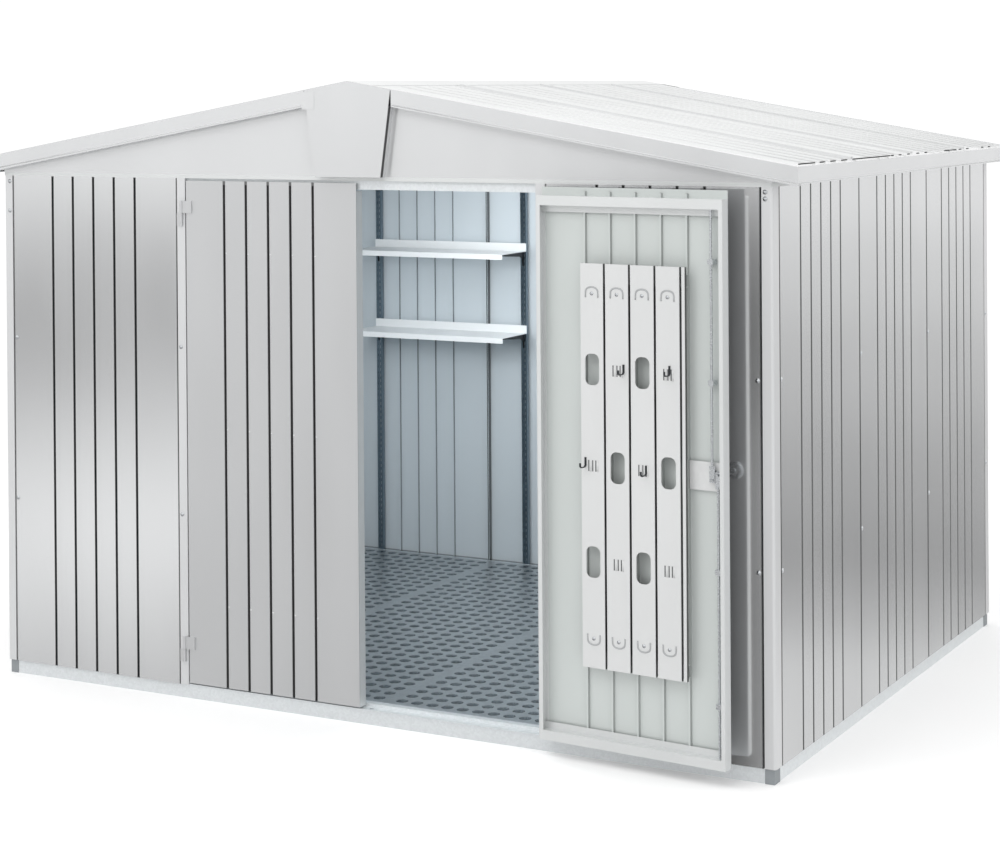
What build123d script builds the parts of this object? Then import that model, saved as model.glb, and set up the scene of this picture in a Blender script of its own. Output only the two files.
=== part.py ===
"""A walk-in metal storage shed: ribbed sheet panels between folded corner posts on a low
base frame, a shallow gable roof, a pair of leaves with a rod lock, a tool board on the
open leaf, and two shelves on slotted uprights.

Millimetres, +Z up. The origin is on the ground under the middle of the four walls, and
the doors face -Y. The left leaf is shut and the right leaf stands open, as in use.
"""
import math
import os

from build123d import *

# Sheet and section thicknesses
SHEET = 2.0
SECTION = 3.0

# Panel grid: one panel, its five folded grooves and the joint between two panels
MODULE = 720.0
GROOVE_PITCH = 90.0
GROOVE_COUNT = 5
GROOVE_WIDTH = 8.0
GROOVE_FLOOR = 3.0
GROOVE_DEPTH = 8.0
JOINT_GAP = 4.0
PANEL_RETURN = 25.0
PANEL_FLANGE = 30.0
SIDE_PANELS = 3
BACK_PANELS = 4

# Corner posts and doorway
POST_FRONT = 38.0
POST_BACK = 24.0
POST_SIDE = 51.0
POST_ROUND = 9.0
POST_RETURN = 25.0
JAMB_FACE = 33.0
JAMB_LIP = 18.0
OPENING_WIDTH = 1346.0

# Heights: the base, the walls' top over the ground, and what stands over or hangs under that top
BASE_HEIGHT = 47.0
WALL_TOP = 1780.0
HEAD_RAIL_RISE = 13.0
LINTEL_DROP = 29.0
RIDGE_RISE = 314.0
EAVE_RISE = 65.0

# Base frame and floor
BASE_SETBACK = 9.0
BASE_FLANGE = 60.0
BASE_FLANGE_FRONT = 100.0
CORNER_WALL = 10.0
FLOOR_SHEET = 3.0
FLOOR_SEAM_SHIFT = 44.0
FLOOR_SEAM_GAP = 1.0
FLOOR_EDGE = 42.0
SILL_FRONT = 4.0
SILL_DEPTH = 96.0
SILL_STOP_HEIGHT = 9.0
BEARER_WIDTH = 50.0
BEARER_FOOT = 25.0

# Head rails and lintel
HEAD_RAIL_DEPTH = 55.0
SIDE_RAIL_FLANGE = 60.0
LINTEL_SETBACK = 12.0

# Roof
EAVE_OVERHANG = 92.0
VERGE_OVERHANG = 30.0
EAVE_HEIGHT = 53.0
EAVE_RETURN = 16.0
VERGE_HEIGHT = 55.0
ROOF_FIRST_WIDTH = 586.0
ROOF_SHEET_WIDTH = 610.0
ROOF_SHEETS = 4
ROOF_SEAM_WIDTH = 8.0
ROOF_SEAM_HEIGHT = 7.0
ROOF_SEAM_STOP = 40.0
ROOF_JOINT_GAP = 1.0
RIDGE_CAP_HALF = 90.0
BEAM_HEIGHT = 60.0
BEAM_WIDTH = 34.0
PLATE_TOP_HALF = 165.0
PLATE_BOTTOM_HALF = 125.0

# Door leaves
LEAF_GAP = 5.0
MEETING_GAP = 7.0
LEAF_DEPTH = 38.0
LEAF_LAP = 26.0
LEAF_PAST_CENTRE = 13.0
LEAF_GROOVE_FIRST = 157.0
LEAF_GROOVE_PITCH = 89.0
LEAF_PLAIN_TOP = 12.0
LEAF_INNER_FLANGE = 13.0
CHANNEL_FLANGE = 30.0
CHANNEL_STEP = 21.0
OPEN_ANGLE = 175.0

# Hinges
HINGE_OUTBOARD = 13.0
BARREL_RADIUS = 5.0
PIN_RADIUS = 2.5
PIN_CLEARANCE = 0.08
BARREL_LENGTH = 86.0
BARREL_GAP = 1.0
HINGE_FROM_BOTTOM = 115.0
HINGE_FROM_TOP = 112.0
HINGE_PLATE = 2.0
STRAP_LIFT = 3.0
HINGE_PLATE_REACH = 20.0
STRAP_REACH = 24.0

# Tool board and the two rails behind it
BOARD_START = 160.0
BOARD_STRIP = 88.0
BOARD_STRIPS = 4
BOARD_PROUD = 2.0
BOARD_DEPTH = 12.0
BOARD_GAP = 8.0
BOARD_LIP = 10.0
BAR_HEIGHT = 40.0
BAR_FROM_BOTTOM = 275.0
BAR_FROM_TOP = 246.0
BAR_INSET = 4.0
BOARD_PAST_LOW_BAR = 27.0
BOARD_PAST_HIGH_BAR = 42.0
GRIP_WIDTH = 50.0
GRIP_HEIGHT = 96.0
GRIP_CORNER = 20.0
GRIP_ROW_PITCH = 295.0
HOOK_WIDTH = 6.0
HOOK_STRAP = 2.5
HOOK_BACK = 30.0
HOOK_REACH = 34.0
HOOK_RISE = 16.0
HOOK_BEND = 6.0
HOOKS = ((1.72, 906.0), (3.52, 912.0), (0.17, 614.0), (2.585, 606.0))

# Rod lock
LOCK_HEIGHT = 920.0
LOCK_FROM_EDGE = 36.0
CRANK_RADIUS = 12.0
CRANK_PIN = 2.5
CRANK_DISC = 19.0
CRANK_PLATE = 4.0
CRANK_LIFT = 1.0
SPINDLE_RADIUS = 5.0
ROD_RADIUS = 4.0
ROD_OFFSET = 10.0
ROD_CRANK_GAP = 1.0
ROD_TIP_SETBACK = 1.0
YOKE_PLATE = 3.0
YOKE_WIDTH = 18.0
YOKE_PAST_PIN = 8.0
YOKE_ON_ROD = 10.0
YOKE_FROM_DISC = 5.0
YOKE_CLEARANCE = 1.0
GUIDE_CLEARANCE = 0.5
GUIDE_WIDTH = 18.0
GUIDE_HEIGHT = 16.0
GUIDE_FROM_LOCK = 280.0
GUIDE_FROM_END = 186.0
KEEPER_CLEARANCE = 3.0
PLATE_WIDTH = 115.0
PLATE_HEIGHT = 86.0
HANDLE_LENGTH = 96.0
HANDLE_WIDTH = 16.0
HANDLE_THICKNESS = 9.0
HANDLE_HUB = 13.0
HANDLE_STANDOFF = 30.0

# Shelves
SHELF_DEPTH = 220.0
SHELF_LIP = 22.0
SHELF_PAST_UPRIGHT = 15.0
SHELF_BACK_LIP = 33.0
SHELF_UPPER = 1385.0
SHELF_LOWER = 1035.0
UPRIGHT_WIDTH = 26.0
UPRIGHT_DEPTH = 18.0
BRACKET_THICKNESS = 4.0
BRACKET_HEIGHT = 62.0
BRACKET_NOSE = 6.0
BRACKET_ARM = 20.0
BRACKET_TAIL = 10.0
BRACKET_POINT = 3.0
BRACKET_REACH = 212.0

# Sizes worked out from the ones above
HALF_OPENING = OPENING_WIDTH / 2
HALF_WIDTH = HALF_OPENING + JAMB_FACE + MODULE + POST_FRONT
BACK_MODULE = 2 * (HALF_WIDTH - POST_BACK) / BACK_PANELS
HALF_DEPTH = SIDE_PANELS * MODULE / 2 + POST_SIDE
FRONT = -HALF_DEPTH
BACK = HALF_DEPTH
RAIL_TOP = WALL_TOP + HEAD_RAIL_RISE
LINTEL_BOTTOM = WALL_TOP - LINTEL_DROP
RIDGE_TOP = RAIL_TOP + RIDGE_RISE
ROOF_SLOPE = (RIDGE_RISE - EAVE_RISE) / HALF_WIDTH
FLOOR_TOP = BASE_HEIGHT + FLOOR_SHEET
LEAF_BOTTOM = FLOOR_TOP + LEAF_GAP
LEAF_BOX_TOP = LINTEL_BOTTOM - LEAF_GAP
LEAF_TOP = LEAF_BOX_TOP + LEAF_LAP
ROOF_DROP = SHEET * math.hypot(1.0, ROOF_SLOPE)
EAVE_X = HALF_WIDTH + EAVE_OVERHANG
VERGE_Y = HALF_DEPTH + VERGE_OVERHANG
RIB_CREST = GROOVE_DEPTH + SHEET
JAMB_DEPTH = LEAF_DEPTH + LEAF_GAP + 2 * SHEET
FLOOR_FRONT = FRONT + SILL_FRONT + SILL_DEPTH + FLOOR_SEAM_GAP
LEFT_LEAF_WIDTH = HALF_OPENING - LEAF_GAP + LEAF_PAST_CENTRE
RIGHT_LEAF_WIDTH = HALF_OPENING - LEAF_GAP - LEAF_PAST_CENTRE - MEETING_GAP
LEAF_FREE_X = LEAF_PAST_CENTRE + MEETING_GAP
LOCK_X = LEAF_FREE_X + LOCK_FROM_EDGE
CRANK_Y = FRONT + RIB_CREST + SHEET + CRANK_LIFT
ROD_Y = CRANK_Y + CRANK_PLATE + ROD_CRANK_GAP + ROD_RADIUS
UPRIGHT_FIRST = -1.5 * BACK_MODULE - (GROOVE_COUNT // 2) * GROOVE_PITCH
UPRIGHT_X = (UPRIGHT_FIRST, UPRIGHT_FIRST + BACK_MODULE)
HINGE_X = HALF_OPENING + HINGE_OUTBOARD
HINGE_Y = FRONT - BARREL_RADIUS
BAR_LOW = LEAF_BOTTOM + BAR_FROM_BOTTOM
BAR_HIGH = LEAF_BOX_TOP - BAR_FROM_TOP
BOARD_BOTTOM = BAR_LOW - BOARD_PAST_LOW_BAR
BOARD_TOP = BAR_HIGH + BOARD_PAST_HIGH_BAR
BOARD_FACE = FRONT + LEAF_DEPTH + BOARD_PROUD


def roof_top(x):
    """Height of the roof sheet's upper face at a distance x from the ridge."""
    return RIDGE_TOP - SHEET - ROOF_SLOPE * abs(x)


def roof_under(x):
    """Height of the roof sheet's lower face at a distance x from the ridge."""
    return roof_top(x) - ROOF_DROP


def folded(path, thickness):
    """Outline of a sheet folded along a path of (u, v) points, with its thickness to the left."""
    normals = []
    for (u0, v0), (u1, v1) in zip(path, path[1:]):
        length = math.hypot(u1 - u0, v1 - v0)
        normals.append((-(v1 - v0) / length, (u1 - u0) / length))
    inner = []
    for index, (u, v) in enumerate(path):
        before = normals[max(index - 1, 0)]
        after = normals[min(index, len(normals) - 1)]
        share = 1 + before[0] * after[0] + before[1] * after[1]
        du = (before[0] + after[0]) / share
        dv = (before[1] + after[1]) / share
        inner.append((u + du * thickness, v + dv * thickness))
    return list(path) + inner[::-1]


def prism(corners, direction):
    """Solid swept from a flat polygon of (x, y, z) corners along a vector."""
    return Solid.extrude(Face(Wire.make_polygon([Vector(*c) for c in corners])), Vector(*direction))


def upright_section(outline, bottom, top):
    """Section in X and Y, run up from bottom to top."""
    return prism([(u, v, bottom) for u, v in outline], (0, 0, top - bottom))


def section_along_x(outline, start, end):
    """Section in Y and Z, run from one x to another."""
    return prism([(start, u, v) for u, v in outline], (end - start, 0, 0))


def section_along_y(outline, start, end):
    """Section in X and Z, run from one y to another."""
    return prism([(u, start, v) for u, v in outline], (0, end - start, 0))


def block(x0, x1, y0, y1, z0, z1):
    """Box between two corners, in any order."""
    size = (abs(x1 - x0), abs(y1 - y0), abs(z1 - z0))
    return Pos((x0 + x1) / 2, (y0 + y1) / 2, (z0 + z1) / 2) * Box(*size)


def rod(x, y, z0, z1, radius):
    """Upright round bar."""
    return Pos(x, y, (z0 + z1) / 2) * Cylinder(radius, abs(z1 - z0))


def mirrored(shape):
    """The same piece on the other side of the shed."""
    return shape.mirror(Plane.YZ)


def front_to_back(shape):
    """The same piece on the opposite gable."""
    return Rot(0, 0, 180) * shape


def rounded(solid, middle, radius):
    """The solid with the edge nearest to a point filleted."""
    edge = solid.edges().sort_by_distance(middle)[0]
    return fillet([edge], radius)


def ribbed_path(length, grooves):
    """Face line of a ribbed sheet from x = 0 to length, each groove dented towards +Y."""
    path = []
    for x in grooves:
        path += [(x - GROOVE_WIDTH / 2, 0), (x - GROOVE_FLOOR / 2, GROOVE_DEPTH)]
        path += [(x + GROOVE_FLOOR / 2, GROOVE_DEPTH), (x + GROOVE_WIDTH / 2, 0)]
    return [(0, 0)] + path + [(length, 0)]


def wall_panel(module):
    """One ribbed panel, outer face on y = 0 and x from 0 to one module, with folded edges."""
    width = module - JOINT_GAP
    grooves = [width / 2 + (i - (GROOVE_COUNT - 1) / 2) * GROOVE_PITCH for i in range(GROOVE_COUNT)]
    path = [(0, PANEL_RETURN)] + ribbed_path(width, grooves) + [(width, PANEL_RETURN)]
    panel = upright_section(folded(path, SHEET), BASE_HEIGHT, WALL_TOP)
    foot = block(SHEET / 2, width - SHEET / 2, SHEET / 2, PANEL_FLANGE, BASE_HEIGHT, BASE_HEIGHT + SHEET)
    head = block(SHEET / 2, width - SHEET / 2, SHEET / 2, PANEL_FLANGE, WALL_TOP - SHEET, WALL_TOP)
    return Pos(JOINT_GAP / 2, 0, 0) * (panel + foot + head)


def panels_in_row(count, module, place):
    """A wall of like panels, each set where place(i) says."""
    return Compound([place(i) * wall_panel(module) for i in range(count)])


def corner_post(front_leg, side_leg):
    """Folded post at the front right corner, with its outer edge rounded."""
    x0 = HALF_WIDTH - front_leg
    y1 = FRONT + side_leg
    gap = JOINT_GAP / 2
    path = [(x0 + gap, FRONT + POST_RETURN), (x0 + gap, FRONT), (HALF_WIDTH, FRONT)]
    path += [(HALF_WIDTH, y1 - gap), (HALF_WIDTH - POST_RETURN, y1 - gap)]
    post = upright_section(folded(path, SHEET), BASE_HEIGHT, WALL_TOP)
    middle = (BASE_HEIGHT + WALL_TOP) / 2
    post = rounded(post, (HALF_WIDTH - SHEET, FRONT + SHEET, middle), POST_ROUND - SHEET)
    return rounded(post, (HALF_WIDTH, FRONT, middle), POST_ROUND)


def base_rail(flange, half_web, half_flange, front):
    """Channel along X with its web at y = front, open to the inside, flanges shorter than the web."""
    top = [(front + flange, BASE_HEIGHT), (front, BASE_HEIGHT), (front, 0), (front + flange, 0)]
    rail = section_along_x(folded(top, SECTION), -half_flange, half_flange)
    return rail + block(-half_web, half_web, front, front + SECTION, 0, BASE_HEIGHT)


def base_corner(front_leg, side_leg):
    """Angle piece that joins two base rails under the front right post."""
    x0 = HALF_WIDTH - front_leg
    x1 = HALF_WIDTH - BASE_SETBACK + SHEET
    y0 = FRONT + BASE_SETBACK - SHEET
    path = [(x0, y0), (x1, y0), (x1, FRONT + side_leg)]
    return upright_section(folded(path, CORNER_WALL), 0, BASE_HEIGHT)


def keeper_hole(x, bottom, top):
    """Hole that a lock rod drops into."""
    return rod(x, ROD_Y, bottom - 1, top + 1, ROD_RADIUS + KEEPER_CLEARANCE)


def door_sill():
    """Plate across the doorway with a low stop behind the leaves and a hole for the lower rod."""
    y0 = FRONT + SILL_FRONT
    plate = block(-HALF_OPENING, HALF_OPENING, y0, y0 + SILL_DEPTH, BASE_HEIGHT, FLOOR_TOP)
    half = HALF_OPENING - JAMB_LIP - SHEET
    stop_y = FRONT + LEAF_DEPTH + LEAF_GAP
    stop = block(-half, half, stop_y, stop_y + SECTION, FLOOR_TOP - 1, FLOOR_TOP + SILL_STOP_HEIGHT)
    return plate + stop - keeper_hole(LOCK_X - ROD_OFFSET, BASE_HEIGHT, FLOOR_TOP)


def floor_edges():
    """Side edges of the floor panels from left to right."""
    seams = [FLOOR_SEAM_SHIFT + i * MODULE for i in (-1, 0, 1)]
    return [FLOOR_EDGE - HALF_WIDTH] + seams + [HALF_WIDTH - FLOOR_EDGE]


def floor_panels():
    """Floor sheets side by side on the base rails and the bearers."""
    edges = floor_edges()
    gap = FLOOR_SEAM_GAP / 2
    return Compound([
        block(x0 + gap, x1 - gap, FLOOR_FRONT, BACK - FLOOR_EDGE, BASE_HEIGHT, FLOOR_TOP)
        for x0, x1 in zip(edges, edges[1:])
    ])


def floor_bearers(front_end, back_end):
    """Hat sections with their feet on the ground under the floor seams."""
    half = BEARER_WIDTH / 2
    bars = []
    for x in floor_edges()[1:-1]:
        foot = half + BEARER_FOOT
        top = [(x + half, BASE_HEIGHT), (x - half, BASE_HEIGHT)]
        path = [(x + foot, SECTION), (x + half, SECTION)] + top + [(x - half, SECTION), (x - foot, SECTION)]
        bars.append(section_along_y(folded(path, SECTION), front_end, back_end))
    return Compound(bars)


def door_jamb():
    """Folded jamb on the right of the doorway, with a stop lip behind the leaf."""
    outer = HALF_OPENING + JAMB_FACE
    path = [(HALF_OPENING, FRONT + JAMB_DEPTH), (HALF_OPENING, FRONT), (outer, FRONT)]
    path += [(outer, FRONT + PANEL_RETURN)]
    jamb = upright_section(folded(path, SHEET), BASE_HEIGHT, WALL_TOP)
    y1 = FRONT + JAMB_DEPTH
    lip = block(HALF_OPENING - JAMB_LIP, HALF_OPENING + 1, y1 - SHEET, y1, FLOOR_TOP, LINTEL_BOTTOM - 1)
    return jamb + lip


def head_rail(drop):
    """Channel over the front wall, open downwards; its inner web hangs lower between the side walls."""
    half = HALF_WIDTH - SECTION
    y1 = FRONT + HEAD_RAIL_DEPTH
    path = [(y1, WALL_TOP), (y1, RAIL_TOP), (FRONT, RAIL_TOP), (FRONT, WALL_TOP)]
    rail = section_along_x(folded(path, SECTION), -half, half)
    inner = HALF_WIDTH - FLOOR_EDGE
    return rail + block(-inner, inner, y1 - SECTION, y1, WALL_TOP - drop, WALL_TOP + 1)


def side_head_rail():
    """Angle over the right wall whose top flange lies under the roof sheets."""
    x0 = HALF_WIDTH - SIDE_RAIL_FLANGE
    x1 = HALF_WIDTH - SECTION
    outline = [(HALF_WIDTH, WALL_TOP), (HALF_WIDTH, roof_under(HALF_WIDTH)), (x0, roof_under(x0))]
    outline += [(x0, roof_under(x0) - SECTION), (x1, roof_under(x1) - SECTION), (x1, WALL_TOP)]
    half = HALF_DEPTH - SHEET
    return section_along_y(outline, -half, half)


def door_lintel():
    """Angle above the doorway that the leaves close against, with a hole for the upper rod."""
    y0 = FRONT + LINTEL_SETBACK
    y1 = FRONT + HEAD_RAIL_DEPTH - SECTION
    path = [(y0, RAIL_TOP - SECTION), (y0, LINTEL_BOTTOM), (y1, LINTEL_BOTTOM)]
    lintel = section_along_x(folded(path, SHEET), -HALF_OPENING, HALF_OPENING)
    return lintel - keeper_hole(LOCK_X + ROD_OFFSET, LINTEL_BOTTOM, LINTEL_BOTTOM + SHEET)


def gable_infill():
    """Two flat sheets between the front head rail and the roof."""
    sides = []
    for side in (-1, 1):
        x0 = side * ROOF_JOINT_GAP / 2
        x1 = side * HALF_WIDTH
        outline = [(x0, RAIL_TOP), (x1, RAIL_TOP), (x1, roof_under(x1)), (x0, roof_under(x0))]
        sides.append(section_along_y(outline, FRONT, FRONT + SHEET))
    return Compound(sides)


def gable_plate():
    """Raised plain centre plate of the front gable, its edges folded back to the infill."""
    top_x = PLATE_TOP_HALF
    low_x = PLATE_BOTTOM_HALF
    lift = RAIL_TOP
    face = [(-low_x, lift), (low_x, lift), (top_x, roof_top(top_x) + SHEET)]
    face += [(0, RIDGE_TOP), (-top_x, roof_top(top_x) + SHEET)]
    plate = section_along_y(face, -VERGE_Y - SHEET, -VERGE_Y)
    body = [(-low_x, lift), (low_x, lift), (top_x, roof_under(top_x))]
    body += [(0, roof_under(0)), (-top_x, roof_under(top_x))]
    edge = 2 * SHEET
    hollow = [(-low_x + edge, lift + edge), (low_x - edge, lift + edge)]
    hollow += [(top_x - edge, roof_under(top_x) - edge), (0, roof_under(0) - edge)]
    hollow += [(edge - top_x, roof_under(top_x) - edge)]
    folds = section_along_y(body, -VERGE_Y, FRONT) - section_along_y(hollow, -VERGE_Y, FRONT + 1)
    return plate + folds


def roof_seams():
    """Lines across the depth where two roof sheets meet, from front to back."""
    inner = [-VERGE_Y + ROOF_FIRST_WIDTH + i * ROOF_SHEET_WIDTH for i in range(ROOF_SHEETS - 1)]
    return [-VERGE_Y] + inner + [VERGE_Y]


def roof_slope():
    """The right slope: sheets side by side, each with its edges turned up at the seams."""
    x0 = ROOF_JOINT_GAP / 2
    x1 = EAVE_X - SHEET
    sheet = [(x0, roof_under(x0)), (x1, roof_under(x1)), (x1, roof_top(x1)), (x0, roof_top(x0))]
    a = RIDGE_CAP_HALF + ROOF_SEAM_WIDTH
    b = EAVE_X - ROOF_SEAM_STOP
    lift = ROOF_SEAM_HEIGHT
    fold = [(a, roof_under(a)), (b, roof_under(b)), (b, roof_top(b) + lift), (a, roof_top(a) + lift)]
    seams = roof_seams()
    gap = ROOF_JOINT_GAP / 2
    pieces = []
    for index in range(ROOF_SHEETS):
        start = seams[index] + (gap if index else 0)
        end = seams[index + 1] - (gap if index < ROOF_SHEETS - 1 else 0)
        piece = section_along_y(sheet, start, end)
        if index:
            piece += section_along_y(fold, start, start + ROOF_SEAM_WIDTH)
        if index < ROOF_SHEETS - 1:
            piece += section_along_y(fold, end - ROOF_SEAM_WIDTH, end)
        pieces.append(piece)
    return Compound(pieces)


def ridge_cap():
    """Shallow folded cap over the ridge."""
    half = RIDGE_CAP_HALF
    outline = [(-half, roof_top(half)), (0, roof_top(0)), (half, roof_top(half))]
    outline += [(half, roof_top(half) + SHEET), (0, RIDGE_TOP), (-half, roof_top(half) + SHEET)]
    return section_along_y(outline, -VERGE_Y, VERGE_Y)


def roof_beams():
    """Ridge beam and one purlin under each slope, between the two gables."""
    half = BEAM_WIDTH / 2
    reach = HALF_DEPTH - SHEET
    beams = []
    for x in (-HALF_WIDTH / 2, 0.0, HALF_WIDTH / 2):
        low = min(roof_under(x - half), roof_under(x + half)) - BEAM_HEIGHT
        path = [(x + half, low), (x + half, roof_under(x + half))]
        path += [(x, roof_under(x))] if x == 0 else []
        path += [(x - half, roof_under(x - half)), (x - half, low)]
        beams.append(section_along_y(folded(path, SECTION), -reach, reach))
    return Compound(beams)


def verge_trim():
    """Folded trims along both front edges of the roof, from the centre plate to the eaves."""
    x0 = PLATE_TOP_HALF + SHEET
    x1 = EAVE_X
    low = VERGE_HEIGHT
    top = SHEET
    face = [(x0, roof_top(x0) - low), (x1, roof_top(x1) - low)]
    face += [(x1, roof_top(x1) + top), (x0, roof_top(x0) + top)]
    trim = section_along_y(face, -VERGE_Y - SHEET, -VERGE_Y)
    x2 = EAVE_X - SHEET
    foot = [(x0, roof_top(x0) - low), (x2, roof_top(x2) - low)]
    foot += [(x2, roof_top(x2) - low + SHEET), (x0, roof_top(x0) - low + SHEET)]
    x3 = EAVE_X - ROOF_SEAM_STOP
    head = [(x0, roof_top(x0)), (x3, roof_top(x3)), (x3, roof_top(x3) + top), (x0, roof_top(x0) + top)]
    trim += section_along_y(foot, -VERGE_Y - 1, FRONT)
    trim += section_along_y(head, -VERGE_Y - 1, -VERGE_Y + VERGE_OVERHANG)
    return Compound([trim, mirrored(trim)])


def eave_trim():
    """Folded fascia along the right eave, with a short return under it and one over the sheets."""
    top = roof_top(EAVE_X) + SHEET
    low = top - EAVE_HEIGHT
    x0 = EAVE_X - SHEET
    fascia = block(x0, EAVE_X, -VERGE_Y, VERGE_Y, low, top)
    x2 = EAVE_X - ROOF_SEAM_STOP + 1
    over = [(x2, roof_top(x2)), (x0 + 1, roof_top(x0 + 1))]
    over += [(x0 + 1, roof_top(x0 + 1) + SHEET), (x2, roof_top(x2) + SHEET)]
    half = HALF_DEPTH - SHEET
    under = block(EAVE_X - EAVE_RETURN, x0 + 1, -half, half, low, low + SHEET)
    return fascia + section_along_y(over, -VERGE_Y, VERGE_Y) + under


def leaf_edges(width):
    """Hinge edge and free edge of a shut left leaf."""
    hinge_edge = LEAF_GAP - HALF_OPENING
    return hinge_edge, hinge_edge + width


def leaf_grooves(x0):
    """Groove lines of a leaf whose hinge edge is at x0."""
    return [x0 + LEAF_GROOVE_FIRST + i * LEAF_GROOVE_PITCH for i in range(GROOVE_COUNT)]


def leaf_skin(width):
    """Face sheet of a shut left leaf, grooved up to a plain strip along its lapping top edge."""
    x0, x1 = leaf_edges(width)
    ribs = [(x + x0, y + FRONT) for x, y in ribbed_path(width, [g - x0 for g in leaf_grooves(x0)])]
    skin = upright_section(folded(ribs, SHEET), LEAF_BOTTOM, LEAF_TOP - LEAF_PLAIN_TOP)
    return skin + block(x0, x1, FRONT, FRONT + SHEET, LEAF_TOP - LEAF_PLAIN_TOP, LEAF_TOP)


def leaf_stiles(width):
    """Folded edge channels up both sides of a shut left leaf, flanged between the end channels."""
    x0, x1 = leaf_edges(width)
    y0, y1 = FRONT + SHEET, FRONT + LEAF_DEPTH
    low, top = LEAF_BOTTOM + CHANNEL_FLANGE, LEAF_BOX_TOP - CHANNEL_FLANGE
    stiles = []
    for edge, inward in ((x0, 1), (x1, -1)):
        stile = block(edge, edge + inward * SHEET, y0, y1, LEAF_BOTTOM, LEAF_BOX_TOP)
        for y in (y0, y1 - SHEET):
            stile += block(edge + inward, edge + inward * LEAF_INNER_FLANGE, y, y + SHEET, low, top)
        stiles.append(stile)
    return Compound(stiles)


def end_channels(start, end):
    """Channels along a leaf's top and bottom: end wall, inner flange and a step behind it."""
    y0, y1 = FRONT + SHEET, FRONT + LEAF_DEPTH
    step = FRONT + RIB_CREST + SHEET
    line = [(step, -CHANNEL_FLANGE - CHANNEL_STEP), (step, -CHANNEL_FLANGE)]
    line += [(y1, -CHANNEL_FLANGE), (y1, 0), (y0, 0)]
    profile = folded(line, SHEET)
    channels = []
    for edge, up in ((LEAF_BOX_TOP, 1), (LEAF_BOTTOM, -1)):
        channels.append(section_along_x([(y, edge + up * z) for y, z in profile], start, end))
    return channels


def leaf_channels(width):
    """End channels of a shut left leaf, notched round its grooves."""
    x0, x1 = leaf_edges(width)
    skin = leaf_skin(width)
    notched = [channel - skin for channel in end_channels(x0 + SHEET, x1 - SHEET)]
    return Compound([channel.solids().sort_by(SortBy.VOLUME)[-1] for channel in notched])


def hinge_heights():
    """Middle heights of the two hinges."""
    return LEAF_BOTTOM + HINGE_FROM_BOTTOM, LEAF_TOP - HINGE_FROM_TOP


def hinge_seats():
    """Lower knuckles and pins of the right hinges, on plates on the jamb."""
    half = BARREL_LENGTH / 2
    seats = []
    for z in hinge_heights():
        top = z - BARREL_GAP / 2
        seat = rod(HINGE_X, HINGE_Y, z - half, top, BARREL_RADIUS)
        seat += rod(HINGE_X, HINGE_Y, z - half, z + half - BARREL_RADIUS, PIN_RADIUS)
        seat += block(HINGE_X, HINGE_X + HINGE_PLATE_REACH, FRONT - HINGE_PLATE, FRONT, z - half, top)
        seats.append(seat)
    return Compound(seats)


def hinge_straps():
    """Upper knuckles of a shut right leaf's hinges, with straps seated on its face."""
    half = BARREL_LENGTH / 2
    edge = HALF_OPENING - LEAF_GAP
    straps = []
    for z in hinge_heights():
        low, top = z + BARREL_GAP / 2, z + half
        lift = FRONT - STRAP_LIFT
        strap = rod(HINGE_X, HINGE_Y, low, top, BARREL_RADIUS)
        strap += block(edge - STRAP_REACH, HINGE_X, lift - HINGE_PLATE, lift, low, top)
        strap += block(edge - STRAP_REACH, edge - 2, lift - 1, FRONT, low, top)
        strap -= rod(HINGE_X, HINGE_Y, low - 1, top - BARREL_RADIUS + 1, PIN_RADIUS + PIN_CLEARANCE)
        straps.append(strap)
    return Compound(straps)


def board_x(strip):
    """Distance across the right leaf of a point on the tool board, counted in strips from its left."""
    return HALF_OPENING - LEAF_GAP - BOARD_START - strip * BOARD_STRIP


def board_rails():
    """Rails behind the tool board of a shut right leaf, on the crests of its grooves."""
    crest = FRONT + RIB_CREST
    front = BOARD_FACE - BOARD_DEPTH
    start = board_x(BOARD_STRIPS) - BOARD_LIP + BAR_INSET
    rails = []
    for z in (BAR_LOW, BAR_HIGH):
        z0, z1 = z - BAR_HEIGHT / 2, z + BAR_HEIGHT / 2
        path = [(crest, z0), (front, z0), (front, z1), (crest, z1)]
        rails.append(section_along_x(folded(path, SHEET), start, board_x(0) - BAR_INSET))
    return rails


def board_channel(x0, x1):
    """One folded strip of the board, as wide as from x1 to x0, with its flanges on the rails."""
    y0, y1 = BOARD_FACE - BOARD_DEPTH, BOARD_FACE
    path = [(x0, y0), (x0, y1), (x1, y1), (x1, y0)]
    return upright_section(folded(path, SHEET), BOARD_BOTTOM, BOARD_TOP)


def tool_board():
    """Four strips side by side with staggered hand grips and a narrow edge strip, on a shut leaf."""
    half = (BOARD_STRIP - BOARD_GAP) / 2
    strips = []
    for index in range(BOARD_STRIPS):
        middle = board_x(index) - half
        strip = board_channel(middle + half, middle - half)
        for row, z in enumerate(grip_heights()):
            if row % 2 == index % 2:
                strip -= grip_hole(middle, z)
        strips.append(strip)
    edge = board_x(BOARD_STRIPS)
    return Compound([*strips, board_channel(edge, edge - BOARD_LIP)])


def grip_heights():
    """Heights of the three rows of hand grips, from the top."""
    middle = (BOARD_TOP + BOARD_BOTTOM) / 2
    return middle + GRIP_ROW_PITCH, middle, middle - GRIP_ROW_PITCH


def grip_hole(x, z):
    """Upright hole with rounded corners through a strip."""
    outline = RectangleRounded(GRIP_WIDTH, GRIP_HEIGHT, GRIP_CORNER)
    return Pos(x, BOARD_FACE, z) * Rot(90, 0, 0) * extrude(outline, 2 * SHEET, both=True)


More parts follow.
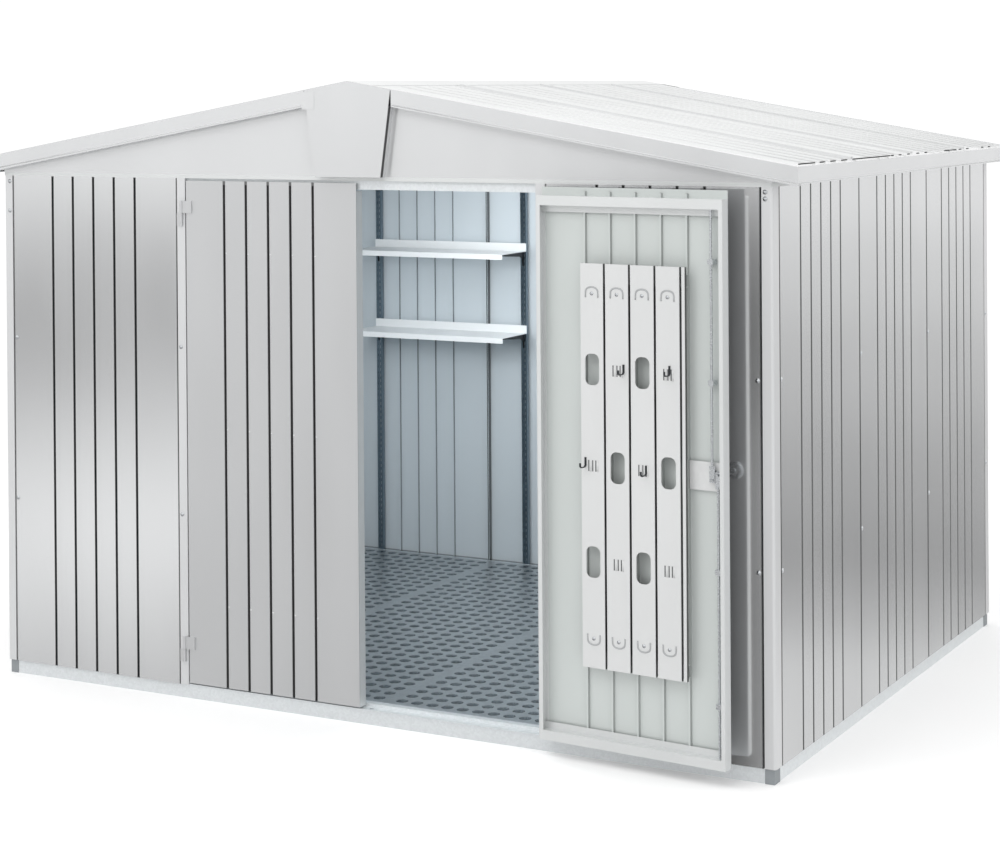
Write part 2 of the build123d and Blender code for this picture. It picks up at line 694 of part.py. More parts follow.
def tool_hooks():
    """Hooks of bent strap on the face of the tool board."""
    back, front = BOARD_FACE, BOARD_FACE + HOOK_REACH
    hooks = []
    for strip, rise in HOOKS:
        x, z = board_x(strip), BOARD_BOTTOM + rise
        path = [(back, z + HOOK_BACK), (back, z + HOOK_BEND), (back + HOOK_BEND, z)]
        path += [(front - HOOK_BEND, z), (front, z + HOOK_BEND), (front, z + HOOK_RISE)]
        hook = section_along_x(folded(path, HOOK_STRAP), x - HOOK_WIDTH / 2, x + HOOK_WIDTH / 2)
        hooks.append(hook)
    return Compound(hooks)


def cross_bar(x, z, radius, y0, y1):
    """Round bar from front to back."""
    return Pos(x, (y0 + y1) / 2, z) * Rot(90, 0, 0) * Cylinder(radius, y1 - y0)


def spindle(radius, y0, y1):
    """Round bar across the leaf on the lock's axis."""
    return cross_bar(LOCK_X, LOCK_HEIGHT, radius, y0, y1)


def lock_plate():
    """Bridge plate behind the lock of a shut right leaf, with a hole for the spindle."""
    x0 = LEAF_FREE_X + LEAF_INNER_FLANGE
    x1 = x0 + PLATE_WIDTH
    y0, y1 = FRONT + SHEET, FRONT + RIB_CREST + SHEET
    path = [(x1, y0), (x1, y1), (x0, y1), (x0, y0)]
    half = PLATE_HEIGHT / 2
    plate = upright_section(folded(path, SHEET), LOCK_HEIGHT - half, LOCK_HEIGHT + half)
    return plate - spindle(SPINDLE_RADIUS + GUIDE_CLEARANCE, FRONT, y1 + SHEET)


def rod_guides():
    """Guide blocks for the two lock rods, on the inside of the leaf's skin."""
    half = GUIDE_HEIGHT / 2
    front = ROD_Y + ROD_RADIUS + SECTION
    heights = {1: (LOCK_HEIGHT + GUIDE_FROM_LOCK, LEAF_BOX_TOP - GUIDE_FROM_END)}
    heights[-1] = (LOCK_HEIGHT - GUIDE_FROM_LOCK, LEAF_BOTTOM + GUIDE_FROM_END)
    guides = []
    for side, places in heights.items():
        x = LOCK_X + side * ROD_OFFSET
        for z in places:
            guide = block(x - GUIDE_WIDTH / 2, x + GUIDE_WIDTH / 2, FRONT + SHEET, front, z - half, z + half)
            guides.append(guide - rod(x, ROD_Y, z - half - 1, z + half + 1, ROD_RADIUS + GUIDE_CLEARANCE))
    return Compound(guides)


def lock_crank():
    """Crank disc with a pin at each side, at rest with the rods drawn in, and its spindle."""
    y1 = CRANK_Y + CRANK_PLATE
    crank = spindle(CRANK_DISC, CRANK_Y, y1)
    crank += spindle(SPINDLE_RADIUS, FRONT - HANDLE_STANDOFF, y1 - 1)
    pin_end = ROD_Y + YOKE_PLATE / 2 + SECTION
    offset = CRANK_RADIUS * math.cos(math.pi / 4)
    for side in (-1, 1):
        crank += cross_bar(LOCK_X + side * offset, LOCK_HEIGHT - side * offset, CRANK_PIN, y1 - 1, pin_end)
    return crank


def lock_handle():
    """Lever on the outside end of the spindle, pointing to the hinges when the rods are drawn in."""
    y1 = FRONT - HANDLE_STANDOFF
    y0 = y1 - HANDLE_THICKNESS
    half = HANDLE_WIDTH / 2
    hub = spindle(HANDLE_HUB, y0, y1)
    return hub + block(LOCK_X, LOCK_X + HANDLE_LENGTH, y0, y1 - 1, LOCK_HEIGHT - half, LOCK_HEIGHT + half)


def lock_rod(side, tip):
    """Round rod with a flat slotted end on the crank pin: side 1 runs up to tip, -1 runs down to it."""
    x = LOCK_X + side * ROD_OFFSET
    offset = CRANK_RADIUS * math.cos(math.pi / 4)
    pin_z = LOCK_HEIGHT - side * offset
    start = LOCK_HEIGHT + side * (CRANK_DISC + YOKE_FROM_DISC)
    bar = rod(x, ROD_Y, min(start, tip), max(start, tip), ROD_RADIUS)
    y0, y1 = ROD_Y - YOKE_PLATE / 2, ROD_Y + YOKE_PLATE / 2
    half = YOKE_WIDTH / 2
    bar += block(x - half, x + half, y0, y1, pin_z - side * YOKE_PAST_PIN, start + side * YOKE_ON_ROD)
    slot = CRANK_PIN + YOKE_CLEARANCE
    reach = CRANK_RADIUS - ROD_OFFSET + CRANK_PIN + YOKE_CLEARANCE
    return bar - block(x - reach, x + reach, y0 - 1, y1 + 1, pin_z - slot, pin_z + slot)


def shelf_uprights():
    """Channels against the ribs of the back wall that carry the shelf brackets."""
    y0, y1 = BACK - RIB_CREST - UPRIGHT_DEPTH, BACK - RIB_CREST
    half = UPRIGHT_WIDTH / 2
    bars = []
    for x in UPRIGHT_X:
        path = [(x + half, y1), (x + half, y0), (x - half, y0), (x - half, y1)]
        bars.append(upright_section(folded(path[::-1], SHEET), BASE_HEIGHT + SHEET, WALL_TOP - SHEET))
    return Compound(bars)


def shelf(top):
    """Folded shelf board with a lip hanging at the front and one standing at the back."""
    y1 = BACK - RIB_CREST - UPRIGHT_DEPTH
    y0 = y1 - SHELF_DEPTH
    path = [(y1 - SHEET, top + SHELF_BACK_LIP), (y1 - SHEET, top), (y0, top), (y0, top - SHELF_LIP)]
    start = UPRIGHT_X[0] - SHELF_PAST_UPRIGHT
    end = UPRIGHT_X[1] + SHELF_PAST_UPRIGHT
    return section_along_x(folded(path, SHEET), start, end)


def shelf_brackets():
    """Tapered arms under both shelves, one on each upright, with a pointed tail down its front."""
    y1 = BACK - RIB_CREST - UPRIGHT_DEPTH
    y0 = y1 - BRACKET_REACH
    arms = []
    for top in (SHELF_UPPER - SHEET, SHELF_LOWER - SHEET):
        for x in UPRIGHT_X:
            start = x - BRACKET_THICKNESS / 2
            outline = [(y1, top), (y0, top), (y0, top - BRACKET_NOSE)]
            outline += [(y1 - 3 * BRACKET_TAIL, top - BRACKET_ARM)]
            outline += [(y1 - BRACKET_TAIL, top - BRACKET_ARM - BRACKET_TAIL)]
            outline += [(y1 - BRACKET_POINT, top - BRACKET_HEIGHT), (y1, top - BRACKET_HEIGHT)]
            arms.append(section_along_x(outline, start, start + BRACKET_THICKNESS))
    return Compound(arms)


def opened(shape):
    """A piece of the right leaf, swung from shut to its place at rest."""
    return Pos(HINGE_X, HINGE_Y, 0) * Rot(0, 0, OPEN_ANGLE) * Pos(-HINGE_X, -HINGE_Y, 0) * shape


def both_sides(shape):
    """A piece and its mirror image on the other side of the shed."""
    return Compound([shape, mirrored(shape)])


def both_gables(shape):
    """A piece of the front gable and the same piece on the back gable."""
    return Compound([shape, front_to_back(shape)])


def base_and_floor():
    """Nodes of the base frame and the floor."""
    rail_end = HALF_WIDTH - BASE_SETBACK - BASE_FLANGE
    front_rail = base_rail(BASE_FLANGE_FRONT, HALF_WIDTH - POST_FRONT, rail_end, FRONT + BASE_SETBACK)
    back_rail = base_rail(BASE_FLANGE, HALF_WIDTH - POST_BACK, rail_end, FRONT + BASE_SETBACK)
    side_half = HALF_DEPTH - POST_SIDE
    side_rail = Rot(0, 0, 90) * base_rail(BASE_FLANGE, side_half, side_half, BASE_SETBACK - HALF_WIDTH)
    front_corner = base_corner(POST_FRONT, POST_SIDE)
    back_corner = front_to_back(base_corner(POST_BACK, POST_SIDE))
    bearer_front = FRONT + BASE_SETBACK + BASE_FLANGE_FRONT
    hole = keeper_hole(LOCK_X - ROD_OFFSET, BASE_HEIGHT - SECTION, BASE_HEIGHT)
    return {
        "base_rail_front": front_rail - hole,
        "base_rail_back": front_to_back(back_rail),
        "base_rails_side": both_sides(side_rail),
        "base_corners": Compound([
            front_corner, mirrored(front_corner), back_corner, mirrored(back_corner)]),
        "door_sill": door_sill(),
        "floor_panels": floor_panels(),
        "floor_bearers": floor_bearers(bearer_front, BACK - BASE_SETBACK - BASE_FLANGE),
    }


def walls():
    """Nodes of the four walls and the doorway."""
    panel_x = HALF_OPENING + JAMB_FACE
    side_row = SIDE_PANELS * MODULE / 2
    back_row = BACK_PANELS * BACK_MODULE / 2
    return {
        "corner_posts_front": both_sides(corner_post(POST_FRONT, POST_SIDE)),
        "corner_posts_back": both_sides(front_to_back(corner_post(POST_BACK, POST_SIDE))),
        "front_wall_right": Pos(panel_x, FRONT, 0) * wall_panel(MODULE),
        "front_wall_left": Pos(-panel_x - MODULE, FRONT, 0) * wall_panel(MODULE),
        "right_wall": panels_in_row(
            SIDE_PANELS, MODULE, lambda i: Pos(HALF_WIDTH, i * MODULE - side_row, 0) * Rot(0, 0, 90)),
        "left_wall": panels_in_row(
            SIDE_PANELS, MODULE, lambda i: Pos(-HALF_WIDTH, side_row - i * MODULE, 0) * Rot(0, 0, -90)),
        "back_wall": panels_in_row(
            BACK_PANELS, BACK_MODULE, lambda i: Pos(back_row - i * BACK_MODULE, BACK, 0) * Rot(0, 0, 180)),
        "door_jambs": both_sides(door_jamb()),
        "head_rail_front": head_rail(WALL_TOP - LINTEL_BOTTOM),
        "head_rail_back": front_to_back(head_rail(SHEET)),
        "head_rails_side": both_sides(side_head_rail()),
        "door_lintel": door_lintel(),
    }


def gables_and_roof():
    """Nodes of the gables and the roof."""
    return {
        "gable_infill_front": gable_infill(),
        "gable_infill_back": front_to_back(gable_infill()),
        "gable_plates": both_gables(gable_plate()),
        "roof_right": roof_slope(),
        "roof_left": mirrored(roof_slope()),
        "ridge_cap": ridge_cap(),
        "roof_beams": roof_beams(),
        "verge_trims": both_gables(verge_trim()),
        "eave_trims": both_sides(eave_trim()),
    }


def shelves():
    """Nodes of the shelves on the back wall."""
    return {
        "shelf_uprights": shelf_uprights(),
        "shelf_upper": shelf(SHELF_UPPER),
        "shelf_lower": shelf(SHELF_LOWER),
        "shelf_brackets": shelf_brackets(),
    }


def left_door():
    """Nodes of the left leaf, which rests shut."""
    return {
        "left_leaf_skin": leaf_skin(LEFT_LEAF_WIDTH),
        "left_leaf_stiles": leaf_stiles(LEFT_LEAF_WIDTH),
        "left_leaf_bars": leaf_channels(LEFT_LEAF_WIDTH),
        "left_leaf_hinge_straps": mirrored(hinge_straps()),
    }


def right_door():
    """Nodes of the right leaf with its board and lock, modelled shut and swung to where it rests."""
    guide = ROD_RADIUS + GUIDE_CLEARANCE
    skin = mirrored(leaf_skin(RIGHT_LEAF_WIDTH))
    skin -= spindle(SPINDLE_RADIUS + GUIDE_CLEARANCE, FRONT - 1, FRONT + SHEET + 1)
    bars = mirrored(leaf_channels(RIGHT_LEAF_WIDTH))
    top, low = LEAF_BOX_TOP, LEAF_BOTTOM
    bars -= rod(LOCK_X + ROD_OFFSET, ROD_Y, top - CHANNEL_FLANGE - 1, top + 1, guide)
    bars -= rod(LOCK_X - ROD_OFFSET, ROD_Y, low - 1, low + CHANNEL_FLANGE + 1, guide)
    pieces = {
        "right_leaf_skin": skin,
        "right_leaf_stiles": mirrored(leaf_stiles(RIGHT_LEAF_WIDTH)),
        "right_leaf_bars": Compound([*bars.solids(), *board_rails()]),
        "right_leaf_hinge_straps": hinge_straps(),
        "tool_board": tool_board(),
        "tool_hooks": tool_hooks(),
        "lock_plate": lock_plate(),
        "lock_rod_guides": rod_guides(),
        "lock_crank": lock_crank(),
        "lock_handle": lock_handle(),
        "lock_rod_upper": lock_rod(1, LEAF_BOX_TOP - ROD_TIP_SETBACK),
        "lock_rod_lower": lock_rod(-1, LEAF_BOTTOM + ROD_TIP_SETBACK),
    }
    return {name: opened(shape) for name, shape in pieces.items()}


def build():
    """Every node of the shed, by name."""
    nodes = base_and_floor() | walls() | gables_and_roof() | shelves()
    nodes["hinge_seats"] = both_sides(hinge_seats())
    return nodes | left_door() | right_door()


os.makedirs("parts", exist_ok=True)
for node_name, node_shape in build().items():
    export_step(node_shape, os.path.join("parts", node_name + ".step"))
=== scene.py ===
# %% [markdown]
# # A garden shed of folded sheet metal
#
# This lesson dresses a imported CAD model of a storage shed. The CAD gives every sheet, rail, door
# and rod its true size. Blender adds what a designer adds last: the coatings, the embossing of
# the floor, the screws, the slots, the light and the camera. All places are in metres, in the
# CAD's own frame: X to the right along the front, Y to the back, Z up, with the front wall's face
# at Y = -1.131.

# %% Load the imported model
import math

import bmesh
import bpy
import numpy as np
from mathutils import Matrix, Vector


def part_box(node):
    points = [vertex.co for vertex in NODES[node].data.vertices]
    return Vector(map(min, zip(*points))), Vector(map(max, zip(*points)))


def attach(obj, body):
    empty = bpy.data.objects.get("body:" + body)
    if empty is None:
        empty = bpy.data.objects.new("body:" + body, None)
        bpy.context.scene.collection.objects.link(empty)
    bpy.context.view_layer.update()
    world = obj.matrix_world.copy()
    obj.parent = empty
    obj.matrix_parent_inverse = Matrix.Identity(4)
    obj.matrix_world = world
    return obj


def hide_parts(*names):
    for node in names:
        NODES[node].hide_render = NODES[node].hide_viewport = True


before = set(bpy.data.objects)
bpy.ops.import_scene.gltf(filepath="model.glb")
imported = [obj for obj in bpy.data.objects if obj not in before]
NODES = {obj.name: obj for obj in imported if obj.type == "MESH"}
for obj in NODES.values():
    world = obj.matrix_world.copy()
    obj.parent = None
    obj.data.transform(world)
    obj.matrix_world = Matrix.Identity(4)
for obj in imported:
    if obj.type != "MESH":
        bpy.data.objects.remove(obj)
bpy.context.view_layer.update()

# %% [markdown]
# ## The camera
#
# The photograph was taken from the right of the doorway, from a standing height, with the camera
# held level and the frame shifted down, so that upright edges stay upright. A pitched camera
# would make them lean together. Here the same is done with a level camera and a vertical lens
# shift.

# %% Camera
CAMERA_PLACE = (3.8948, -7.3762, 2.0770)
CAMERA_YAW = math.radians(28.1758)
CAMERA_PITCH = math.radians(-0.4586)
CAMERA_ROLL = math.radians(-0.4049)
LENS_MM = 80.853
LENS_SHIFT = -0.32209

camera = bpy.data.objects.new("camera", bpy.data.cameras.new("camera"))
bpy.context.scene.collection.objects.link(camera)
camera.data.sensor_width = 36.0
camera.data.lens = LENS_MM
camera.data.shift_y = LENS_SHIFT
look = Matrix.Rotation(CAMERA_YAW, 4, "Z") @ Matrix.Rotation(math.pi / 2 + CAMERA_PITCH, 4, "X")
camera.matrix_world = Matrix.Translation(CAMERA_PLACE) @ look @ Matrix.Rotation(CAMERA_ROLL, 4, "Z")
bpy.context.scene.camera = camera
print("camera", [round(v, 3) for v in camera.location], "lens", LENS_MM, "mm")

# %% [markdown]
# ## Nodes and colours
#
# A material is a small tree of nodes. One function adds any node: its settings, its input values
# and its links in one call. Colours are written as they look on a screen, as hex values, and one
# function turns them into the linear numbers that a renderer adds and multiplies.


# %% Helpers for materials
def linear(hex_colour):
    """sRGB hex to linear RGBA: a channel is c/12.92 up to 0.04045, else ((c + 0.055)/1.055)^2.4."""
    channels = np.array([int(hex_colour[i:i + 2], 16) / 255 for i in (1, 3, 5)])
    low, high = channels / 12.92, ((channels + 0.055) / 1.055) ** 2.4
    return (*np.where(channels <= 0.04045, low, high), 1.0)


def add(tree, kind, inputs=None, **settings):
    """Adds one node. inputs maps a socket's name or number to a value or to an output."""
    node = tree.nodes.new("ShaderNode" + kind)
    for name, value in settings.items():
        setattr(node, name, value)
    for socket, value in (inputs or {}).items():
        if isinstance(value, bpy.types.NodeSocket):
            tree.links.new(value, node.inputs[socket])
        else:
            node.inputs[socket].default_value = value
    return node


def new_material(name, **surface):
    """A new material, its node tree and its Principled shader with the values given."""
    material = bpy.data.materials.new(name)
    material.use_nodes = True
    tree = material.node_tree
    shader = tree.nodes["Principled BSDF"]
    for socket, value in surface.items():
        shader.inputs[socket.replace("_", " ")].default_value = value
    return material, tree, shader


print("middle grey is", [round(v, 3) for v in linear("#808080")])

# %% [markdown]
# ## A white studio
#
# Sheet metal looks like what it reflects. In the photograph the front is light at the top, grey
# at half height, and has a soft glow near the bottom, while the right side darkens further down.
# A flat wall seen from afar reflects the room at one angle for each height, so that ladder of
# tones is the room's own: a white wall at eye height, a darker skirting, then a floor with a
# bright sweep. The world gives such a ladder by the steepness of each ray, one for the room
# before the shed and one for the room behind it.

# %% The room's two ladders of tones
FRONT_TONES = ((-0.35, 0.52), (-0.255, 0.52), (-0.225, 0.74), (-0.195, 1.0), (-0.175, 0.96),
               (-0.145, 0.68), (-0.115, 0.42), (-0.09, 0.38), (-0.062, 0.54), (-0.037, 1.0),
               (0.0, 0.92), (0.25, 1.0))
BACK_TONES = ((-0.35, 0.80), (-0.25, 0.74), (-0.225, 0.46), (-0.205, 0.32), (-0.17, 0.40),
              (-0.12, 0.54), (-0.08, 0.68), (-0.04, 0.88), (0.25, 1.0))
TURN_TO_BACK = 0.15
world = bpy.data.worlds.new("white studio")
bpy.context.scene.world = world
world.use_nodes = True
sky = world.node_tree
sky.nodes.clear()
direction = add(sky, "TexCoord").outputs["Generated"]
way = add(sky, "SeparateXYZ", {0: direction}).outputs


def ladder(tones):
    """A ramp from the lowest to the highest steepness, with a tone at each rung."""
    lowest, highest = tones[0][0], tones[-1][0]
    height = add(sky, "MapRange", {0: way["Z"], 1: lowest, 2: highest}).outputs[0]
    steps = add(sky, "ValToRGB", {0: height})
    steps.color_ramp.interpolation = "EASE"
    rungs = steps.color_ramp.elements
    rungs[0].color = (*[tones[0][1]] * 3, 1)
    rungs[1].color = (*[tones[-1][1]] * 3, 1)
    for rise, tone in tones[1:-1]:
        rungs.new((rise - lowest) / (highest - lowest)).color = (tone, tone, tone, 1)
    return steps.outputs[0]


behind = add(sky, "MapRange", {0: way["Y"], 1: -TURN_TO_BACK, 2: TURN_TO_BACK}).outputs[0]
room = add(sky, "Mix", {"Factor": behind, 6: ladder(FRONT_TONES), 7: ladder(BACK_TONES)},
           data_type="RGBA").outputs[2]
print("rungs before and behind:", len(FRONT_TONES), len(BACK_TONES))

# %% [markdown]
# ## Screen, patches and backdrop
#
# A dark screen stands in front of the shed on the left, below eye height. The wall beside the
# open leaf reflects it, and so goes dark there. The rest of the room has soft patches, like
# windows and far screens, about seven degrees wide, which keep the reflections from looking
# drawn. Where the camera looks straight at the world, it is plain white.

# %% Screen, patches and backdrop
SCREEN_X, SCREEN_REACH, SCREEN_EDGE, SCREEN_TONE = -0.396, 0.056, 0.020, 0.0
SCREEN_TOP = (-0.047, -0.037)
ROOM_LIGHT, BACKDROP_LIGHT = 1.13, 1.05
PATCH_SCALE, PATCH_SQUASH, PATCH_SPREAD = 8.0, 0.3, 0.07
NOISE_LOW, NOISE_HIGH = 0.3, 0.7
beside = add(sky, "Math", {0: way["X"], 1: SCREEN_X}, operation="SUBTRACT").outputs[0]
beside = add(sky, "Math", {0: beside}, operation="ABSOLUTE").outputs[0]
screen = add(sky, "MapRange", {0: beside, 1: SCREEN_REACH, 2: SCREEN_REACH + SCREEN_EDGE,
                                3: SCREEN_TONE, 4: 1.0}).outputs[0]
above = add(sky, "MapRange", {0: way["Z"], 1: SCREEN_TOP[0], 2: SCREEN_TOP[1]}).outputs[0]
above = add(sky, "Math", {0: above, 1: behind}, operation="MAXIMUM").outputs[0]
dimmed = add(sky, "Mix", {0: above, 2: screen, 3: 1.0}).outputs[0]
flattened = add(sky, "Mapping", {"Vector": direction, "Scale": (1.0, 1.0, PATCH_SQUASH)}).outputs[0]
patches = add(sky, "TexNoise", {"Vector": flattened, "Scale": PATCH_SCALE, "Detail": 0.0})
power = add(sky, "MapRange", {0: patches.outputs["Fac"], 1: NOISE_LOW, 2: NOISE_HIGH,
                               3: (1 - PATCH_SPREAD) * ROOM_LIGHT,
                               4: (1 + PATCH_SPREAD) * ROOM_LIGHT}).outputs[0]
power = add(sky, "Math", {0: power, 1: dimmed}, operation="MULTIPLY").outputs[0]
room_light = add(sky, "Background", {"Color": room, "Strength": power})
backdrop = add(sky, "Background", {"Color": (1, 1, 1, 1), "Strength": BACKDROP_LIGHT})
seen = add(sky, "LightPath").outputs["Is Camera Ray"]
both = add(sky, "MixShader", {0: seen, 1: room_light.outputs[0], 2: backdrop.outputs[0]})
add(sky, "OutputWorld", {0: both.outputs[0]})
bpy.context.scene.view_settings.view_transform = "Standard"
print("world nodes:", len(sky.nodes))

# %% [markdown]
# ## Soft lights and a pale floor
#
# Area lights fill in what the room leaves dark: one overhead in front, one just inside the
# doorway and one under the roof, which light the back wall, the shelves and the floor. They light
# matt surfaces only and don't show in the metal, because the world already gives its reflections.
# The floor is white studio paper with a faint glow of its own, so that it stays pale under the
# shed's soft shadow.


# %% Lights and floor
def soft_light(name, place, target, size, watts, tint=(1.0, 1.0, 1.0)):
    """A rectangular area light at place, turned to target, unseen by the camera and the metal."""
    light = bpy.data.lights.new(name, "AREA")
    light.shape = "RECTANGLE"
    light.size, light.size_y = size
    light.energy = watts
    light.color = tint
    lamp = bpy.data.objects.new(name, light)
    bpy.context.scene.collection.objects.link(lamp)
    lamp.location = place
    lamp.rotation_euler = (Vector(target) - Vector(place)).to_track_quat("-Z", "Y").to_euler()
    lamp.visible_camera = False
    lamp.visible_glossy = False
    return lamp


COOL = (0.96, 0.985, 1.0)
soft_light("overhead front", (0.4, -3.6, 3.8), (1.0, -1.2, 1.2), (2.4, 1.4), 34)
soft_light("in the doorway", (-0.75, -0.55, 1.45), (0.5, 1.1, 0.6), (0.8, 0.7), 17, COOL)
soft_light("under the roof", (0.0, 0.2, 1.84), (0.0, 0.25, 0.0), (1.4, 1.4), 13, COOL)

FLOOR_RADIUS, RIM_POINTS = 5.2, 96
PAPER_WHITE, PAPER_GLOW = 0.93, 0.10
turn = np.linspace(0, 2 * math.pi, RIM_POINTS, endpoint=False)
rim = np.stack([FLOOR_RADIUS * np.cos(turn), FLOOR_RADIUS * np.sin(turn), 0 * turn], -1)
floor_mesh = bpy.data.meshes.new("studio_floor")
floor_mesh.from_pydata(rim.tolist(), [], [list(range(RIM_POINTS))])
studio_floor = bpy.data.objects.new("studio_floor", floor_mesh)
bpy.context.scene.collection.objects.link(studio_floor)
studio_floor.visible_glossy = False
floor_finish, _, _ = new_material("matt white studio paper", Roughness=0.9,
                                  Base_Color=(PAPER_WHITE, PAPER_WHITE, PAPER_WHITE, 1),
                                  Emission_Color=(1, 1, 1, 1), Emission_Strength=PAPER_GLOW)
floor_mesh.materials.append(floor_finish)
print("floor of", 2 * FLOOR_RADIUS, "m")

# %% [markdown]
# ## Bands between grooves
#
# Rolling presses grooves into a flat sheet, and leaves each band between two grooves slightly
# crowned. That bends the reflections into soft upright stripes. The crown could be modelled, but
# half a millimetre on a 90 mm band is only seen as a tilt of the surface, so a bump does it. The
# same wave tells how near a groove is, to paint the thin line of shade that lies in it.

# %% Sizes and bands
MM = 0.001
BAND_PITCH = 90 * MM
FRONT_Y = -1.131
HALF_WIDTH = 1.464
PANEL = 720 * MM


def bands(tree, along, start, module, first, last, pitch, line=5.2 * MM):
    """Crown of the bands, |sin(pi u / pitch)|, and how near a groove is: 1 in its middle, 0 off it.

    u is the distance along the wall from start, folded into one panel. Outside first to last, where
    the panel has no grooves, one wide band of twice the pitch takes over. line is half the width of
    the shade in a groove."""
    place = add(tree, "TexCoord").outputs["Object"]
    run = add(tree, "VectorMath", {0: place, 1: along}, operation="DOT_PRODUCT").outputs["Value"]
    run = add(tree, "Math", {0: run, 1: start}, operation="SUBTRACT").outputs[0]
    run = add(tree, "Math", {0: run, 1: module}, operation="FLOORED_MODULO").outputs[0]
    middle, reach = (first + last) / 2, (last - first) / 2
    ribbed = add(tree, "Math", {0: run, 1: middle, 2: reach}, operation="COMPARE").outputs[0]
    turns = add(tree, "Math", {0: run, 1: first}, operation="SUBTRACT").outputs[0]
    narrow = math.pi / pitch
    scale = add(tree, "MapRange", {0: ribbed, 3: narrow / 2, 4: narrow}).outputs[0]
    angle = add(tree, "Math", {0: turns, 1: scale}, operation="MULTIPLY").outputs[0]
    wave = add(tree, "Math", {0: angle}, operation="SINE").outputs[0]
    arch = add(tree, "Math", {0: wave}, operation="ABSOLUTE").outputs[0]
    away = add(tree, "Math", {0: arch, 1: scale}, operation="DIVIDE").outputs[0]
    near = add(tree, "MapRange", {0: away, 1: line - MM, 2: line + MM, 3: 1.0, 4: 0.0})
    return arch, near.outputs[0]


print("bands of", BAND_PITCH, "m on panels of", PANEL, "m")

# %% [markdown]
# ## Silver coil-coated steel
#
# The walls, doors and gables are hot-dip galvanised steel sheet with a baked silver coat, put on
# in the coil before the panels are rolled. Metal flakes in the coat give a satin gloss. The
# inside has a pale backing coat with no flakes. Shade is painted into the coat's colour: in the
# folds and grooves outside, and on the steep sides of the ribs inside. All this is one material.
# The sheet's normal tells the inside from the outside, and the depth behind the wall's face tells
# the folds from the flat.

# %% Coated sheet
WAVE_SCALE, WAVE_LIFT, WAVE_SQUASH = 3.2, 0.6 * MM, 0.35
CLOUD_SCALE, CLOUD_TONES, CLOUD_GLOSS = 6.0, (0.98, 1.01), 0.008
FOLD_DEPTHS, FOLD_FADE = (0.6 * MM, 3 * MM), 2 * MM
STEEP_FACING, INSIDE_FACING = (0.5, 0.9), (0.02, 0.12)
LINING_METALLIC, LINING_ROUGH = 0.10, 0.42


